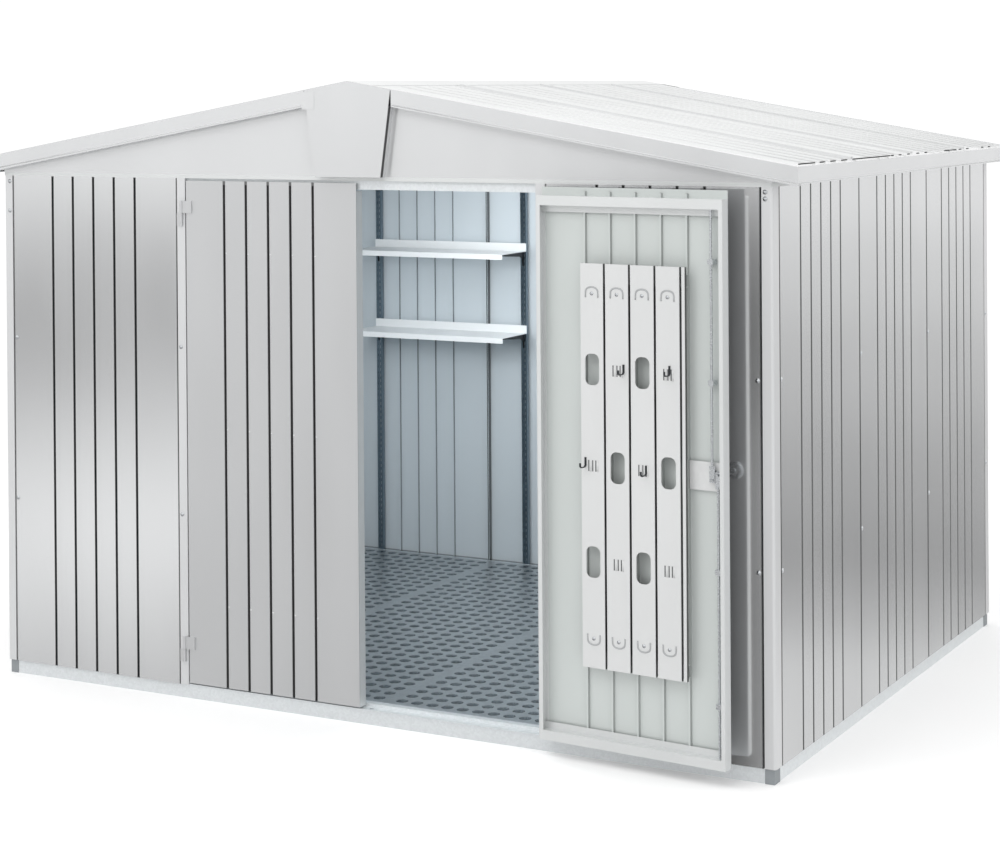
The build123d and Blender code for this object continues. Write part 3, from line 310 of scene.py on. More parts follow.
def coated_sheet(name, outer="#D9DADB", inner=None, inward=None, face=0.0, ribs=None, depth=1.0,
                 twofold=False, metallic=0.86, rough=0.13, crown=0.5 * MM, fold_shade=0.26, crease_shade=0.42):
    """Silver coat outside and a pale backing coat inside.

    inward points into the shed, and face is the wall's place along it. What is deeper than the
    face, down to depth, is darkened by the fold shade factor, and inside, what is steep to the wall
    by the crease shade factor. Both are painted shade, as is the line in each groove.
    With twofold the same holds for the wall's mirror image across the shed."""
    material, tree, shader = new_material(name, Metallic=metallic, Roughness=rough)
    place = add(tree, "TexCoord")
    stretched = add(tree, "Mapping", {"Vector": place.outputs["Object"],
                                      "Scale": (1.0, 1.0, WAVE_SQUASH)}).outputs[0]
    # Sheet waves: swells of about 300 mm across and 900 mm up, under half a millimetre high.
    waves = add(tree, "TexNoise", {"Vector": stretched, "Scale": WAVE_SCALE, "Detail": 0.0})
    bump = add(tree, "Bump", {"Height": waves.outputs["Fac"], "Distance": WAVE_LIFT,
                              "Strength": 1.0})
    groove = None
    if ribs:
        arch, groove = bands(tree, *ribs)
        bump = add(tree, "Bump", {"Height": arch, "Distance": crown, "Strength": 1.0,
                                  "Normal": bump.outputs[0]})
    tree.links.new(bump.outputs[0], shader.inputs["Normal"])
    # Flake cloud: the coat's tone and gloss vary a little over a hand's width.
    cloud = add(tree, "TexNoise", {"Vector": stretched, "Scale": CLOUD_SCALE, "Detail": 0.0})
    cloud = cloud.outputs["Fac"]
    tone = add(tree, "MapRange", {0: cloud, 1: NOISE_LOW, 2: NOISE_HIGH, 3: CLOUD_TONES[0],
                                  4: CLOUD_TONES[1]}).outputs[0]
    coat = add(tree, "Mix", {"Factor": 1.0, 6: linear(outer), 7: tone}, data_type="RGBA",
               blend_type="MULTIPLY").outputs[2]
    gloss = add(tree, "MapRange", {0: cloud, 1: NOISE_LOW, 2: NOISE_HIGH, 3: rough - CLOUD_GLOSS,
                                   4: rough + CLOUD_GLOSS}).outputs[0]
    if inward:
        into = add(tree, "VectorMath", {0: place.outputs["Object"], 1: inward},
                   operation="DOT_PRODUCT").outputs["Value"]
        if twofold:
            into = add(tree, "Math", {0: into}, operation="ABSOLUTE").outputs[0]
            into = add(tree, "Math", {0: 0.0, 1: into}, operation="SUBTRACT").outputs[0]
        # Painted shade: what lies deeper than the face, in folds and grooves, is darkened.
        deep = add(tree, "MapRange", {0: into, 1: face + FOLD_DEPTHS[0],
                                      2: face + FOLD_DEPTHS[1]}).outputs[0]
        ends = add(tree, "MapRange", {0: into, 1: face + depth, 2: face + depth + FOLD_FADE,
                                      3: 1.0, 4: 0.0}).outputs[0]
        deep = add(tree, "Math", {0: deep, 1: ends}, operation="MULTIPLY").outputs[0]
        if groove:
            deep = add(tree, "Math", {0: deep, 1: groove}, operation="MAXIMUM").outputs[0]
        shade = add(tree, "MapRange", {0: deep, 3: 1.0, 4: fold_shade}).outputs[0]
        coat = add(tree, "Mix", {"Factor": 1.0, 6: coat, 7: shade}, data_type="RGBA",
                   blend_type="MULTIPLY").outputs[2]
    if inner:
        # Painted shade: inside, faces steep to the wall are darkened.
        facing = add(tree, "VectorMath", {0: place.outputs["Normal"], 1: inward},
                     operation="DOT_PRODUCT").outputs["Value"]
        steep = add(tree, "MapRange", {0: facing, 1: STEEP_FACING[0], 2: STEEP_FACING[1],
                                       3: crease_shade, 4: 1.0}).outputs[0]
        lining = add(tree, "Mix", {"Factor": 1.0, 6: linear(inner), 7: steep}, data_type="RGBA",
                     blend_type="MULTIPLY").outputs[2]
        inside = add(tree, "MapRange", {0: facing, 1: INSIDE_FACING[0],
                                        2: INSIDE_FACING[1]}).outputs[0]
        coat = add(tree, "Mix", {"Factor": inside, 6: coat, 7: lining},
                   data_type="RGBA").outputs[2]
        flakes = add(tree, "MapRange", {0: inside, 3: metallic, 4: LINING_METALLIC}).outputs[0]
        gloss = add(tree, "MapRange", {0: inside, 3: gloss, 4: LINING_ROUGH}).outputs[0]
        tree.links.new(flakes, shader.inputs["Metallic"])
    tree.links.new(gloss, shader.inputs["Roughness"])
    tree.links.new(coat, shader.inputs["Base Color"])
    return material


def paint(material, *names):
    """Puts one material on the material slots of the CAD nodes named."""
    for name in names:
        for held in NODES[name].material_slots:
            held.material = material
    print(material.name, "on", len(names), "nodes")


# %% [markdown]
# ## The four walls
#
# Each wall has its own direction along which its bands repeat, and its own way into the shed. The
# first panel starts beside the folded corner post, whose leg hides its edge. A panel of 720 mm
# has five grooves in its middle half, and wide plain bands at its edges. The grooves of the side
# walls are seen at a flat angle, so their line of shade is a little wider.

# %% Walls
INSIDE_WALL = "#D2DADF"
GROOVES = (180 * MM, 540 * MM, BAND_PITCH)
SIDE_LINE = 6 * MM
POST_FRONT, POST_SIDE, POST_BACK = 38 * MM, 51 * MM, 24 * MM
BACK_PANELS, BACK_BANDS = 4, 4
left_start = -HALF_WIDTH + POST_FRONT
right_start = HALF_WIDTH - POST_FRONT - PANEL
side_start = FRONT_Y + POST_SIDE
back_start = -HALF_WIDTH + POST_BACK
back_module = -2 * back_start / BACK_PANELS
back_first = (back_module - BACK_BANDS * BAND_PITCH) / 2
back_grooves = (back_first, back_first + BACK_BANDS * BAND_PITCH, BAND_PITCH)
ALONG_X, ALONG_Y = (1, 0, 0), (0, 1, 0)
WALLS = (("front left", "front_wall_left", ALONG_Y, FRONT_Y,
          (ALONG_X, left_start, PANEL, *GROOVES)),
         ("front right", "front_wall_right", ALONG_Y, FRONT_Y,
          (ALONG_X, right_start, PANEL, *GROOVES)),
         ("right side", "right_wall", (-1, 0, 0), -HALF_WIDTH,
          (ALONG_Y, side_start, PANEL, *GROOVES, SIDE_LINE)),
         ("left side", "left_wall", ALONG_X, -HALF_WIDTH,
          (ALONG_Y, side_start, PANEL, *GROOVES, SIDE_LINE)),
         ("back", "back_wall", (0, -1, 0), FRONT_Y,
          (ALONG_X, back_start, back_module, *back_grooves)))
# Each wall gets painted shade in its grooves and folds, and on the steep sides of its ribs inside.
for side, node, inward, face, ribs in WALLS:
    paint(coated_sheet("silver coil-coated steel, " + side, inner=INSIDE_WALL, inward=inward,
                       face=face, ribs=ribs), node)

# %% [markdown]
# ## Posts, gables and frames
#
# The same coated steel, folded into narrow pieces, shows fewer flakes and softer reflections,
# because every bend stretches the coat. Posts, trims and the frames of the leaves are therefore
# paler and less metallic than the wide panels. The centre plate of a gable stands 32 mm off the
# infill, and only the front of its folded edge gets painted shade.

# %% Posts, gables and frames
GABLE_FACE, PLATE_SHADE = -1.163, 15 * MM
plain_silver = coated_sheet("silver coil-coated steel, posts", rough=0.30, metallic=0.45)
paint(plain_silver, "corner_posts_front", "corner_posts_back", "door_jambs")
gable_silver = coated_sheet("silver coil-coated steel, gables and trims", outer="#DBDCDD",
                            metallic=0.55, rough=0.24)
paint(gable_silver, "gable_infill_front", "gable_infill_back", "verge_trims", "eave_trims")
frame_coat = coated_sheet("pale silver coat of frames and rails", outer="#DADCDC",
                          metallic=0.40, rough=0.36)
paint(frame_coat, "head_rail_front", "head_rail_back", "head_rails_side", "left_leaf_stiles",
      "right_leaf_stiles", "left_leaf_bars", "right_leaf_bars")
# Painted shade: the centre plates' folded edges, deeper than the face down to PLATE_SHADE, are
# darkened to 0.08.
plate_silver = coated_sheet("silver coil-coated steel, gable plates", inward=ALONG_Y,
                            face=GABLE_FACE, depth=PLATE_SHADE, twofold=True, fold_shade=0.08,
                            metallic=0.55, rough=0.24)
paint(plate_silver, "gable_plates")

# %% [markdown]
# ## The two door leaves
#
# A leaf has its own groove spacing, measured from its hinged edge. The right leaf stands open by
# 175 degrees, so its bands run along a line that is turned by the same angle about the hinge. The
# leaves lean and flex a little more than a wall, which softens what they reflect, so their coat
# is rougher. The hinges are folded from the same sheet.

# %% Door leaf finish
INSIDE_LEAF = "#C3C8C6"
LEAF_OPEN = math.radians(175)
HINGE = np.array([0.686, -1.136, 0.0])
HALF_OPENING, LEAF_GAP = 0.673, 5 * MM
LEAF_EDGE = HALF_OPENING - LEAF_GAP
LEAF_FIRST, LEAF_PITCH, LEAF_GROOVES = 157 * MM, 89 * MM, 5
LEAF_RIBS = (LEAF_FIRST, LEAF_FIRST + (LEAF_GROOVES - 1) * LEAF_PITCH, LEAF_PITCH)
LEAF_ROUGH, LEAF_CROWN = 0.42, 0.3 * MM
NO_REPEAT = 2.0


def opened(points):
    """Turns points of the shut right leaf to where it rests, round the hinge's upright."""
    points = np.asarray(points, float)
    c, s = math.cos(LEAF_OPEN), math.sin(LEAF_OPEN)
    spin = np.array([[c, -s, 0], [s, c, 0], [0, 0, 1]])
    return (points - HINGE) @ spin.T + HINGE


def opened_way(way):
    """The same rotation for a direction."""
    return opened(HINGE + np.asarray(way, float)) - HINGE


# The left leaf gets painted shade in its grooves and folds, and on its steep rib sides inside.
paint(coated_sheet("silver coil-coated steel, left leaf", inner=INSIDE_LEAF, inward=ALONG_Y,
                   face=FRONT_Y, ribs=(ALONG_X, -LEAF_EDGE, NO_REPEAT, *LEAF_RIBS),
                   rough=LEAF_ROUGH, crown=LEAF_CROWN), "left_leaf_skin")
leaf_along, leaf_inward = opened_way((-1, 0, 0)), opened_way((0, 1, 0))
leaf_start = float(leaf_along @ opened((LEAF_EDGE, FRONT_Y, 0)))
leaf_face = float(leaf_inward @ opened((LEAF_EDGE, FRONT_Y, 0)))
leaf_ribs = (tuple(leaf_along), leaf_start, NO_REPEAT, *LEAF_RIBS)
# Painted shade: the steep sides of the right leaf's inner ribs are darkened less, to 0.66.
paint(coated_sheet("silver coil-coated steel, right leaf", inner=INSIDE_LEAF,
                   inward=tuple(leaf_inward), face=leaf_face, ribs=leaf_ribs,
                   rough=LEAF_ROUGH, crown=LEAF_CROWN, crease_shade=0.66), "right_leaf_skin")
paint(coated_sheet("silver coil-coated steel, hinges", rough=LEAF_ROUGH),
      "hinge_seats", "left_leaf_hinge_straps", "right_leaf_hinge_straps")
print("the open leaf's outside faces", np.round(-leaf_inward, 3))

# %% [markdown]
# ## Roof sheet
#
# The roof is the same coated steel, but rain and sun call for a thicker and duller coat. Seen at
# a flat angle under a white sky it is nearly white, with only its folded seams as fine grey
# lines.

# %% Roof finish
roof_coat = coated_sheet("thick matt silver roof coat", outer="#DDDEDE", metallic=0.30, rough=0.48)
paint(roof_coat, "roof_right", "roof_left", "ridge_cap")

# %% [markdown]
# ## Galvanised sections
#
# Rails, bearers, shelves, uprights and the floor are left in bare zinc. A zinc bath cools into
# flat crystals, called spangle, a few millimetres to a centimetre across. Each crystal reflects a
# little differently. A Voronoi pattern gives every cell one tone and one roughness, which is just
# that. The shelves are of a finer and whiter kind. The floor's lenses are painted darker, as
# painted shade for the dark room that their slopes mirror.


# %% Zinc with spangle
GRAIN_SCALE, GRAIN_LIFT, GLOSS_SPREAD = 260.0, 0.08 * MM, 0.05


def galvanised(name, colour, rough=0.36, spangle=7 * MM, spread=0.04, metallic=1.0):
    """Bare zinc. Each Voronoi cell of the spangle's size gets its own tone and roughness."""
    material, tree, shader = new_material(name, Metallic=metallic)
    place = add(tree, "TexCoord").outputs["Object"]
    cells = add(tree, "TexVoronoi", {"Vector": place, "Scale": 1 / spangle})
    shade = add(tree, "SeparateColor", {0: cells.outputs["Color"]})
    tone = add(tree, "MapRange", {0: shade.outputs[0], 3: 1.0 - spread, 4: 1.0 + spread}).outputs[0]
    zinc = add(tree, "Mix", {"Factor": 1.0, 6: linear(colour), 7: tone}, data_type="RGBA",
               blend_type="MULTIPLY").outputs[2]
    gloss = add(tree, "MapRange", {0: shade.outputs[1], 3: rough - GLOSS_SPREAD,
                                   4: rough + GLOSS_SPREAD}).outputs[0]
    tree.links.new(zinc, shader.inputs["Base Color"])
    tree.links.new(gloss, shader.inputs["Roughness"])
    grain = add(tree, "TexNoise", {"Vector": place, "Scale": GRAIN_SCALE, "Detail": 2.0})
    bump = add(tree, "Bump", {"Height": grain.outputs["Fac"], "Distance": GRAIN_LIFT,
                              "Strength": 1.0})
    tree.links.new(bump.outputs[0], shader.inputs["Normal"])
    return material


zinc_rail = galvanised("hot-dip galvanised steel section", "#E6EAEC", metallic=0.5)
paint(zinc_rail, "base_rail_front", "base_rail_back", "base_rails_side", "door_sill",
      "floor_bearers", "door_lintel", "roof_beams")
zinc_shelf = galvanised("galvanised shelf sheet, fine grain", "#F2F4F5", rough=0.40,
                        spangle=1.5 * MM, spread=0.01, metallic=0.10)
paint(zinc_shelf, "shelf_upper", "shelf_lower")
zinc_upright = galvanised("galvanised upright", "#8896A0", rough=0.34)
paint(zinc_upright, "shelf_uprights")
floor_zinc = galvanised("hot-dip galvanised floor plate", "#BAC0C4", rough=0.34, spangle=14 * MM,
                        metallic=0.8)
# Painted shade: the lenses' zinc is darker than the sheet's, for the dark room mirrored in their
# slopes.
lens_shade_zinc = galvanised("floor zinc, painted darker on the lenses as shade", "#747C81", rough=0.26,
                       metallic=0.9)
paint(floor_zinc, "floor_panels")

# %% [markdown]
# ## Small parts
#
# The corner pieces are moulded polypropylene, a soft grey plastic with a fine eroded grain.
# Brackets and hooks are powder-coated steel: black, with the slight orange peel of melted powder.
# The lock and the screws are bright zinc-plated. The tool board is a thin sheet with a light grey
# coat. Its marks are painted greyer and the gaps between its strips darker, both painted shade.


# %% Plastic, powder coat, plating and board
GRAIN_TONES = (0.95, 1.03)


def grained(name, colour, metallic, rough, grain, lift):
    """One colour with a fine grain: noise of the grain's size moves the tone, gloss and surface."""
    material, tree, shader = new_material(name, Metallic=metallic)
    place = add(tree, "TexCoord").outputs["Object"]
    speck = add(tree, "TexNoise", {"Vector": place, "Scale": 1 / grain, "Detail": 3.0})
    speck = speck.outputs["Fac"]
    tone = add(tree, "MapRange", {0: speck, 1: NOISE_LOW, 2: NOISE_HIGH, 3: GRAIN_TONES[0],
                                  4: GRAIN_TONES[1]}).outputs[0]
    colour = add(tree, "Mix", {"Factor": 1.0, 6: linear(colour), 7: tone}, data_type="RGBA",
                 blend_type="MULTIPLY").outputs[2]
    gloss = add(tree, "MapRange", {0: speck, 1: NOISE_LOW, 2: NOISE_HIGH, 3: rough - GLOSS_SPREAD,
                                   4: rough + GLOSS_SPREAD}).outputs[0]
    bump = add(tree, "Bump", {"Height": speck, "Distance": lift, "Strength": 1.0})
    tree.links.new(colour, shader.inputs["Base Color"])
    tree.links.new(gloss, shader.inputs["Roughness"])
    tree.links.new(bump.outputs[0], shader.inputs["Normal"])
    return material


moulded = grained("moulded grey polypropylene", "#8B9093", 0.0, 0.55, 1.6 * MM, 0.12 * MM)
powder_black = grained("black powder-coated steel", "#1E2226", 0.0, 0.42, 2.5 * MM, 0.10 * MM)
bright_zinc = grained("bright zinc-plated steel", "#D4D7DA", 1.0, 0.26, 4 * MM, 0.05 * MM)
board_coat = grained("light grey coated sheet", "#D2D3D3", 0.15, 0.38, 30 * MM, 0.10 * MM)
slot_shade = grained("shadowed slot", "#5C5E5F", 0.0, 0.80, 3.0 * MM, 0.05 * MM)
# Painted shade: the marks' coat is darker than the board's, for the shade of their embossing.
mark_shade_coat = grained("light grey coated sheet, painted shade on the marks", "#A8AAAB", 0.15, 0.40,
                    30 * MM, 0.10 * MM)
# Painted shade: dark rubber dashes stand for the shadowed gaps under the eaves.
seal_shade_rubber = grained("black rubber as painted eave shade", "#2B2C2D", 0.0, 0.70, 2.0 * MM, 0.10 * MM)
paint(moulded, "base_corners")
paint(powder_black, "shelf_brackets", "tool_hooks")
paint(bright_zinc, "lock_rod_guides", "lock_crank", "lock_rod_upper", "lock_rod_lower",
      "lock_handle")
paint(board_coat, "lock_plate")
BOARD_DEPTH = 40 * MM
board_way = -leaf_inward
board_plane = float(board_way @ opened((LEAF_EDGE, FRONT_Y + BOARD_DEPTH, 0)))
# Painted shade: the gaps between the board's strips, deeper than its face, are darkened to 0.10.
paint(coated_sheet("light grey coated sheet, folded", outer="#D2D3D3", inward=tuple(board_way),
                   face=board_plane, metallic=0.15, rough=0.38, fold_shade=0.10), "tool_board")

# %% [markdown]
# ## Meshes from grids of numbers
#
# Every new piece is a surface worked out as whole arrays. A grid of points in two parameters
# becomes a sheet of four-sided faces, and a stack of such grids becomes one mesh of many copies.


# %% From grids to objects
WELD = 1e-6


def place_mesh(name, points, faces, body, material, smooth=True, weld=True):
    """Makes a mesh, merges its doubles, turns its faces outward, and lets it ride on its body."""
    mesh = bpy.data.meshes.new(name)
    mesh.from_pydata(points.reshape(-1, 3).tolist(), [], faces.tolist())
    if weld:
        tidy = bmesh.new()
        tidy.from_mesh(mesh)
        bmesh.ops.remove_doubles(tidy, verts=tidy.verts, dist=WELD)
        bmesh.ops.recalc_face_normals(tidy, faces=tidy.faces)
        tidy.to_mesh(mesh)
        tidy.free()
    mesh.polygons.foreach_set("use_smooth", np.full(len(mesh.polygons), smooth))
    mesh.materials.append(material)
    piece = bpy.data.objects.new(name, mesh)
    bpy.context.scene.collection.objects.link(piece)
    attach(piece, body)
    print(name, len(mesh.polygons), "faces")
    return piece


def grid_faces(copies, rows, columns, wrap=True, keep=None):
    """Corner numbers of the four-sided faces of each copy's grid.

    With wrap the last column meets the first. keep is a mask of the cells of one grid that stay."""
    across = columns if wrap else columns - 1
    i, j = np.meshgrid(np.arange(rows - 1), np.arange(across), indexing="ij")
    if keep is not None:
        i, j = i[keep], j[keep]
    next_j = (j + 1) % columns
    one = np.stack([i * columns + j, i * columns + next_j, (i + 1) * columns + next_j,
                    (i + 1) * columns + j], -1).reshape(-1, 4)
    return (one[None] + (np.arange(copies) * rows * columns)[:, None, None]).reshape(-1, 4)


def turned(centres, axis, profile, sides=12):
    """Round shapes on many centres c: radius r and height h give c + r(cos t a + sin t b) + h n.

    r and h come from the profile, n is the axis, and a and b are two directions square to it."""
    axis = np.asarray(axis, float) / np.linalg.norm(axis)
    helper = np.array([0, 0, 1.0]) if abs(axis[2]) < 0.9 else np.array([1.0, 0, 0])
    a = np.cross(helper, axis)
    a /= np.linalg.norm(a)
    b = np.cross(axis, a)
    r, h = np.asarray(profile, float).T
    t = np.linspace(0, 2 * math.pi, sides, endpoint=False)
    ring = np.cos(t)[:, None] * a + np.sin(t)[:, None] * b
    shape = r[:, None, None] * ring[None] + h[:, None, None] * axis
    points = np.asarray(centres, float)[:, None, None, :] + shape[None]
    return points, grid_faces(len(points), len(r), sides)


def bars(starts, ends, across, up, section):
    """Straight bars: each end e has the section s as e + s_0 across + s_1 up, and a pole."""
    ends = np.stack([np.asarray(starts, float), np.asarray(ends, float)], 1)
    section = np.asarray(section, float)
    offset = section[:, :1] * np.asarray(across, float) + section[:, 1:] * np.asarray(up, float)
    rims = ends[:, :, None, :] + offset
    poles = np.broadcast_to(rims.mean(2, keepdims=True), rims.shape)
    points = np.stack([poles[:, 0], rims[:, 0], rims[:, 1], poles[:, 1]], 1)
    return points, grid_faces(len(points), 4, len(section))


def oval(width, height, sides=10):
    """A closed section: half the width times cos t, and half the height times sin t."""
    t = np.linspace(0, 2 * math.pi, sides, endpoint=False)
    return np.stack([width / 2 * np.cos(t), height / 2 * np.sin(t)], -1)


# %% [markdown]
# ## The embossed floor
#
# Each floor sheet is pressed between rollers with rows of low round lenses, so that boots grip
# and the thin sheet stays stiff. There are over a thousand of them, so each is a dome of a few
# dozen faces: its height falls from the middle as one less the square of the distance, to a power
# that rounds the rim.

# %% Floor lenses
FLOOR_TOP = 50 * MM
LENS_RADIUS, LENS_HEIGHT = 21 * MM, 2.4 * MM
LENS_STEP_X, LENS_STEP_Y = 58.5 * MM, 65.5 * MM
SHEET_EDGES = (-1.380, -0.676, 0.044, 0.764, 1.400)
LENS_MARGIN, FIRST_ROW, LAST_ROW = 44 * MM, -0.985, 1.05
LENS_RINGS, LENS_ROUNDING, LENS_SUNK = 4, 1.3, 0.4 * MM
rows_y = np.arange(FIRST_ROW, LAST_ROW, LENS_STEP_Y)
places = []
for left, right in zip(SHEET_EDGES[:-1], SHEET_EDGES[1:]):
    across = right - left - 2 * LENS_MARGIN
    count = int(round(across / LENS_STEP_X)) + 1
    places.append(np.linspace(left + LENS_MARGIN, right - LENS_MARGIN, count))
lens_x, lens_y = np.meshgrid(np.concatenate(places), rows_y)
lens_centres = np.stack([lens_x, lens_y, np.full_like(lens_x, FLOOR_TOP)], -1).reshape(-1, 3)
swell = np.linspace(0, 1, LENS_RINGS)
lens_profile = [(LENS_RADIUS * s, LENS_HEIGHT * (1 - s * s) ** LENS_ROUNDING) for s in swell]
lens_profile.append((0.0, -LENS_SUNK))
points, faces = turned(lens_centres, (0, 0, 1), lens_profile)
# The lenses carry the darker zinc, painted shade.
place_mesh("floor_lenses", points, faces, "shed", lens_shade_zinc)

# %% [markdown]
# ## Slotted uprights
#
# The shelf uprights are roll-formed channels with two columns of small slots, into which the
# brackets hook. The section is unrolled into a strip of points, the slots are cells left out of
# the grid, and a Solidify modifier gives the sheet its thickness.

# %% Slotted uprights
low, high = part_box("shelf_uprights")
UPRIGHT_WIDTH, UPRIGHT_WALL, SLOT_STEP = 26 * MM, 1.5 * MM, 25 * MM
SLOT_SIDES = np.array([0, 6.5, 9.5, 16.5, 19.5, 26]) * MM
SLOT_ENDS = np.array([0, 12, 12.5, 24.5]) * MM
section = [(0.0, high.y)] + [(x, low.y) for x in SLOT_SIDES] + [(UPRIGHT_WIDTH, high.y)]
section = np.array(section)
steps = int((high.z - low.z) / SLOT_STEP)
levels = low.z + (np.arange(steps)[:, None] * SLOT_STEP + SLOT_ENDS).ravel()
levels = np.append(levels, high.z)
# The two columns of slots are staggered: one is cut in the first of four cells, one in the third.
keep = np.ones((len(levels) - 1, len(section) - 1), bool)
keep[0::4, 2] = False
keep[2::4, 4] = False
strips = []
for left in (low.x, high.x - UPRIGHT_WIDTH):
    x = np.broadcast_to(section[:, 0] + left, (len(levels), len(section)))
    y = np.broadcast_to(section[:, 1], x.shape)
    z = np.broadcast_to(levels[:, None], x.shape)
    strips.append(np.stack([x, y, z], -1))
points = np.stack(strips)
faces = grid_faces(2, len(levels), len(section), wrap=False, keep=keep)
uprights = place_mesh("slotted_uprights", points, faces, "shed",
                      zinc_upright, smooth=False, weld=False)
wall = uprights.modifiers.new("wall", "SOLIDIFY")
wall.thickness = UPRIGHT_WALL
wall.offset = -1.0
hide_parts("shelf_uprights")

# %% [markdown]
# ## Screws
#
# Self-drilling screws with a pressed washer hold every panel to its neighbour. Their bright heads
# are the only dots on the wide sheets. The head is a shallow dome on a flat washer, turned round
# its axis.

# %% Screw heads
HEAD = np.array([(0, 3.6), (2.4, 3.4), (4.2, 2.4), (4.6, 1.2), (7.4, 0.9), (7.6, 0),
                 (0, -0.5)]) * MM
SCREW_HEIGHTS = (0.630, 1.203)
FRONT_JOINTS = (-1.413, -0.694, 0.694, 1.413)
POST_SCREWS = ((-1.440, 1.655), (-1.440, 1.760), (1.440, 1.745), (1.440, 1.765))
SIDE_SEAM, BACK_SEAM, SIDE_JOINTS = 13 * MM, 13 * MM, 4
front_screws = [(x, FRONT_Y, z) for x in FRONT_JOINTS for z in SCREW_HEIGHTS]
front_screws += [(x, FRONT_Y, z) for x, z in POST_SCREWS]
points, faces = turned(front_screws, (0, -1, 0), HEAD)
place_mesh("front_screws", points, faces, "shed", bright_zinc)
side_joints = side_start + SIDE_SEAM + PANEL * np.arange(SIDE_JOINTS)
for side, name in ((-1, "left"), (1, "right")):
    spots = [(side * HALF_WIDTH, y, z) for y in side_joints for z in SCREW_HEIGHTS]
    points, faces = turned(spots, (side, 0, 0), HEAD)
    place_mesh(name + "_wall_screws", points, faces, "shed", bright_zinc)
back_joints = back_start + BACK_SEAM + back_module * np.arange(BACK_PANELS + 1)
back_screws = [(x, -FRONT_Y, z) for x in back_joints for z in SCREW_HEIGHTS]
points, faces = turned(back_screws, (0, 1, 0), HEAD)
place_mesh("back_wall_screws", points, faces, "shed", bright_zinc)

# %% [markdown]
# ## Rivets in the leaves
#
# The leaves' stiffeners are held by blind rivets in three rows, each just beside a groove. They
# have a silver coat like the sheet's, so they show only as faint dots. The right leaf's are placed
# as if it were shut, and then turned with it.

# %% Rivets
RIVET = np.array([(0, 1.3), (2.0, 1.1), (3.2, 0.4), (3.4, 0), (0, -0.5)]) * MM
RIVET_HEIGHTS, RIVET_BESIDE = (0.330, 0.930, 1.527), 8 * MM
rivet_runs = LEAF_FIRST + LEAF_PITCH * np.arange(LEAF_GROOVES) + RIVET_BESIDE
rivets = np.array([(-LEAF_EDGE + run, FRONT_Y, z) for run in rivet_runs for z in RIVET_HEIGHTS])
points, faces = turned(rivets, (0, -1, 0), RIVET)
place_mesh("left_leaf_rivets", points, faces, "left_door", plain_silver)
points, faces = turned(opened(rivets * (-1, 1, 1)), opened_way((0, -1, 0)), RIVET)
place_mesh("right_leaf_rivets", points, faces, "right_door", plain_silver)

# %% [markdown]
# ## Marks on the tool board
#
# Each strip of the tool board has an arch pressed over the screw that holds it, near the top and
# the bottom, and small upright tongues with slots beside them, in which a hook can hang. Arch and
# tongue are low rounded beads, and the arches' darker coat is painted shade. The slots are thin
# dark beads, painted shade of their openings. A tongue stands where its strip has no hand grip, so
# the marks and the grips make a checker pattern.

# %% Arches over the board's screws
BOARD_START, BOARD_STRIP, BOARD_STRIPS = 160 * MM, 88 * MM, 4
BOARD_FACE, HALF_STRIP = FRONT_Y + BOARD_DEPTH, 40 * MM
ARCH_RADIUS, ARCH_LEG, ARCH_BEAD, ARCH_LIFT = 22 * MM, 10 * MM, 2.6 * MM, 2.2 * MM
ARCH_STEPS, BEAD_SIDES, ARCH_FLATNESS = 15, 8, 0.6
ARCH_HIGH, ARCH_LOW, SCREW_HIGH, SCREW_LOW, SCREW_SCALE = 1.448, 0.396, 1.450, 0.393, 0.8
strip_middles = LEAF_EDGE - BOARD_START - BOARD_STRIP * np.arange(BOARD_STRIPS) - HALF_STRIP
sweep = np.linspace(0, math.pi, ARCH_STEPS)
bead = np.linspace(0, 2 * math.pi, BEAD_SIDES, endpoint=False)
# A point of the bead, with r = R + b cos t, is (r cos u, lift sin t, r sin u to a power below 1).
reach = (ARCH_RADIUS + ARCH_BEAD * np.cos(bead)) * np.ones((ARCH_STEPS, 1))
bow = np.stack([reach * np.cos(sweep)[:, None], np.ones_like(reach) * ARCH_LIFT * np.sin(bead),
                reach * np.sin(sweep)[:, None] ** ARCH_FLATNESS], -1)
foot, far_foot = bow[:1] - (0, 0, ARCH_LEG), bow[-1:] - (0, 0, ARCH_LEG)
pole, far_pole = [end.mean(1, keepdims=True) * np.ones_like(end) for end in (foot, far_foot)]
arch = np.concatenate([pole, foot, bow, far_foot, far_pole])
arches = [np.array([x, BOARD_FACE, z]) + arch * (1, 1, way_up) for x in strip_middles
          for z, way_up in ((ARCH_HIGH, 1), (ARCH_LOW, -1))]
faces = grid_faces(len(arches), len(arch), BEAD_SIDES)
# The arches get the darker coat, painted shade.
place_mesh("board_arches", opened(np.stack(arches)), faces, "right_door", mark_shade_coat)
dots = [(x, BOARD_FACE, z) for x in strip_middles for z in (SCREW_HIGH, SCREW_LOW)]
points, faces = turned(opened(dots), opened_way((0, 1, 0)), HEAD * SCREW_SCALE)
place_mesh("board_screws", points, faces, "right_door", bright_zinc)

# %% Tongues and slots
TONGUE_ROWS = ((1.2175, (1, 3)), (0.9225, (0, 2)), (0.6275, (1, 3)))
HALF_TONGUE = (0, 0, 17 * MM)
MARKS = (("board_tongues", (-17 * MM, 7 * MM), 6 * MM, 4 * MM, board_coat),
         # Painted shade: the slots are thin dark beads, standing for the shade in their openings.
         ("board_slot_shades", (14 * MM, 0.0, -11 * MM), 4 * MM, 1 * MM, slot_shade))
for name, shifts, width, height, finish in MARKS:
    spots = np.array([(strip_middles[k] + shift, BOARD_FACE, z) for z, strips_here in TONGUE_ROWS
                      for k in strips_here for shift in shifts])
    points, faces = bars(opened(spots - HALF_TONGUE), opened(spots + HALF_TONGUE),
                         opened_way((1, 0, 0)), opened_way((0, 1, 0)),
                         oval(width, height, BEAD_SIDES))
    place_mesh(name, points, faces, "right_door", finish)

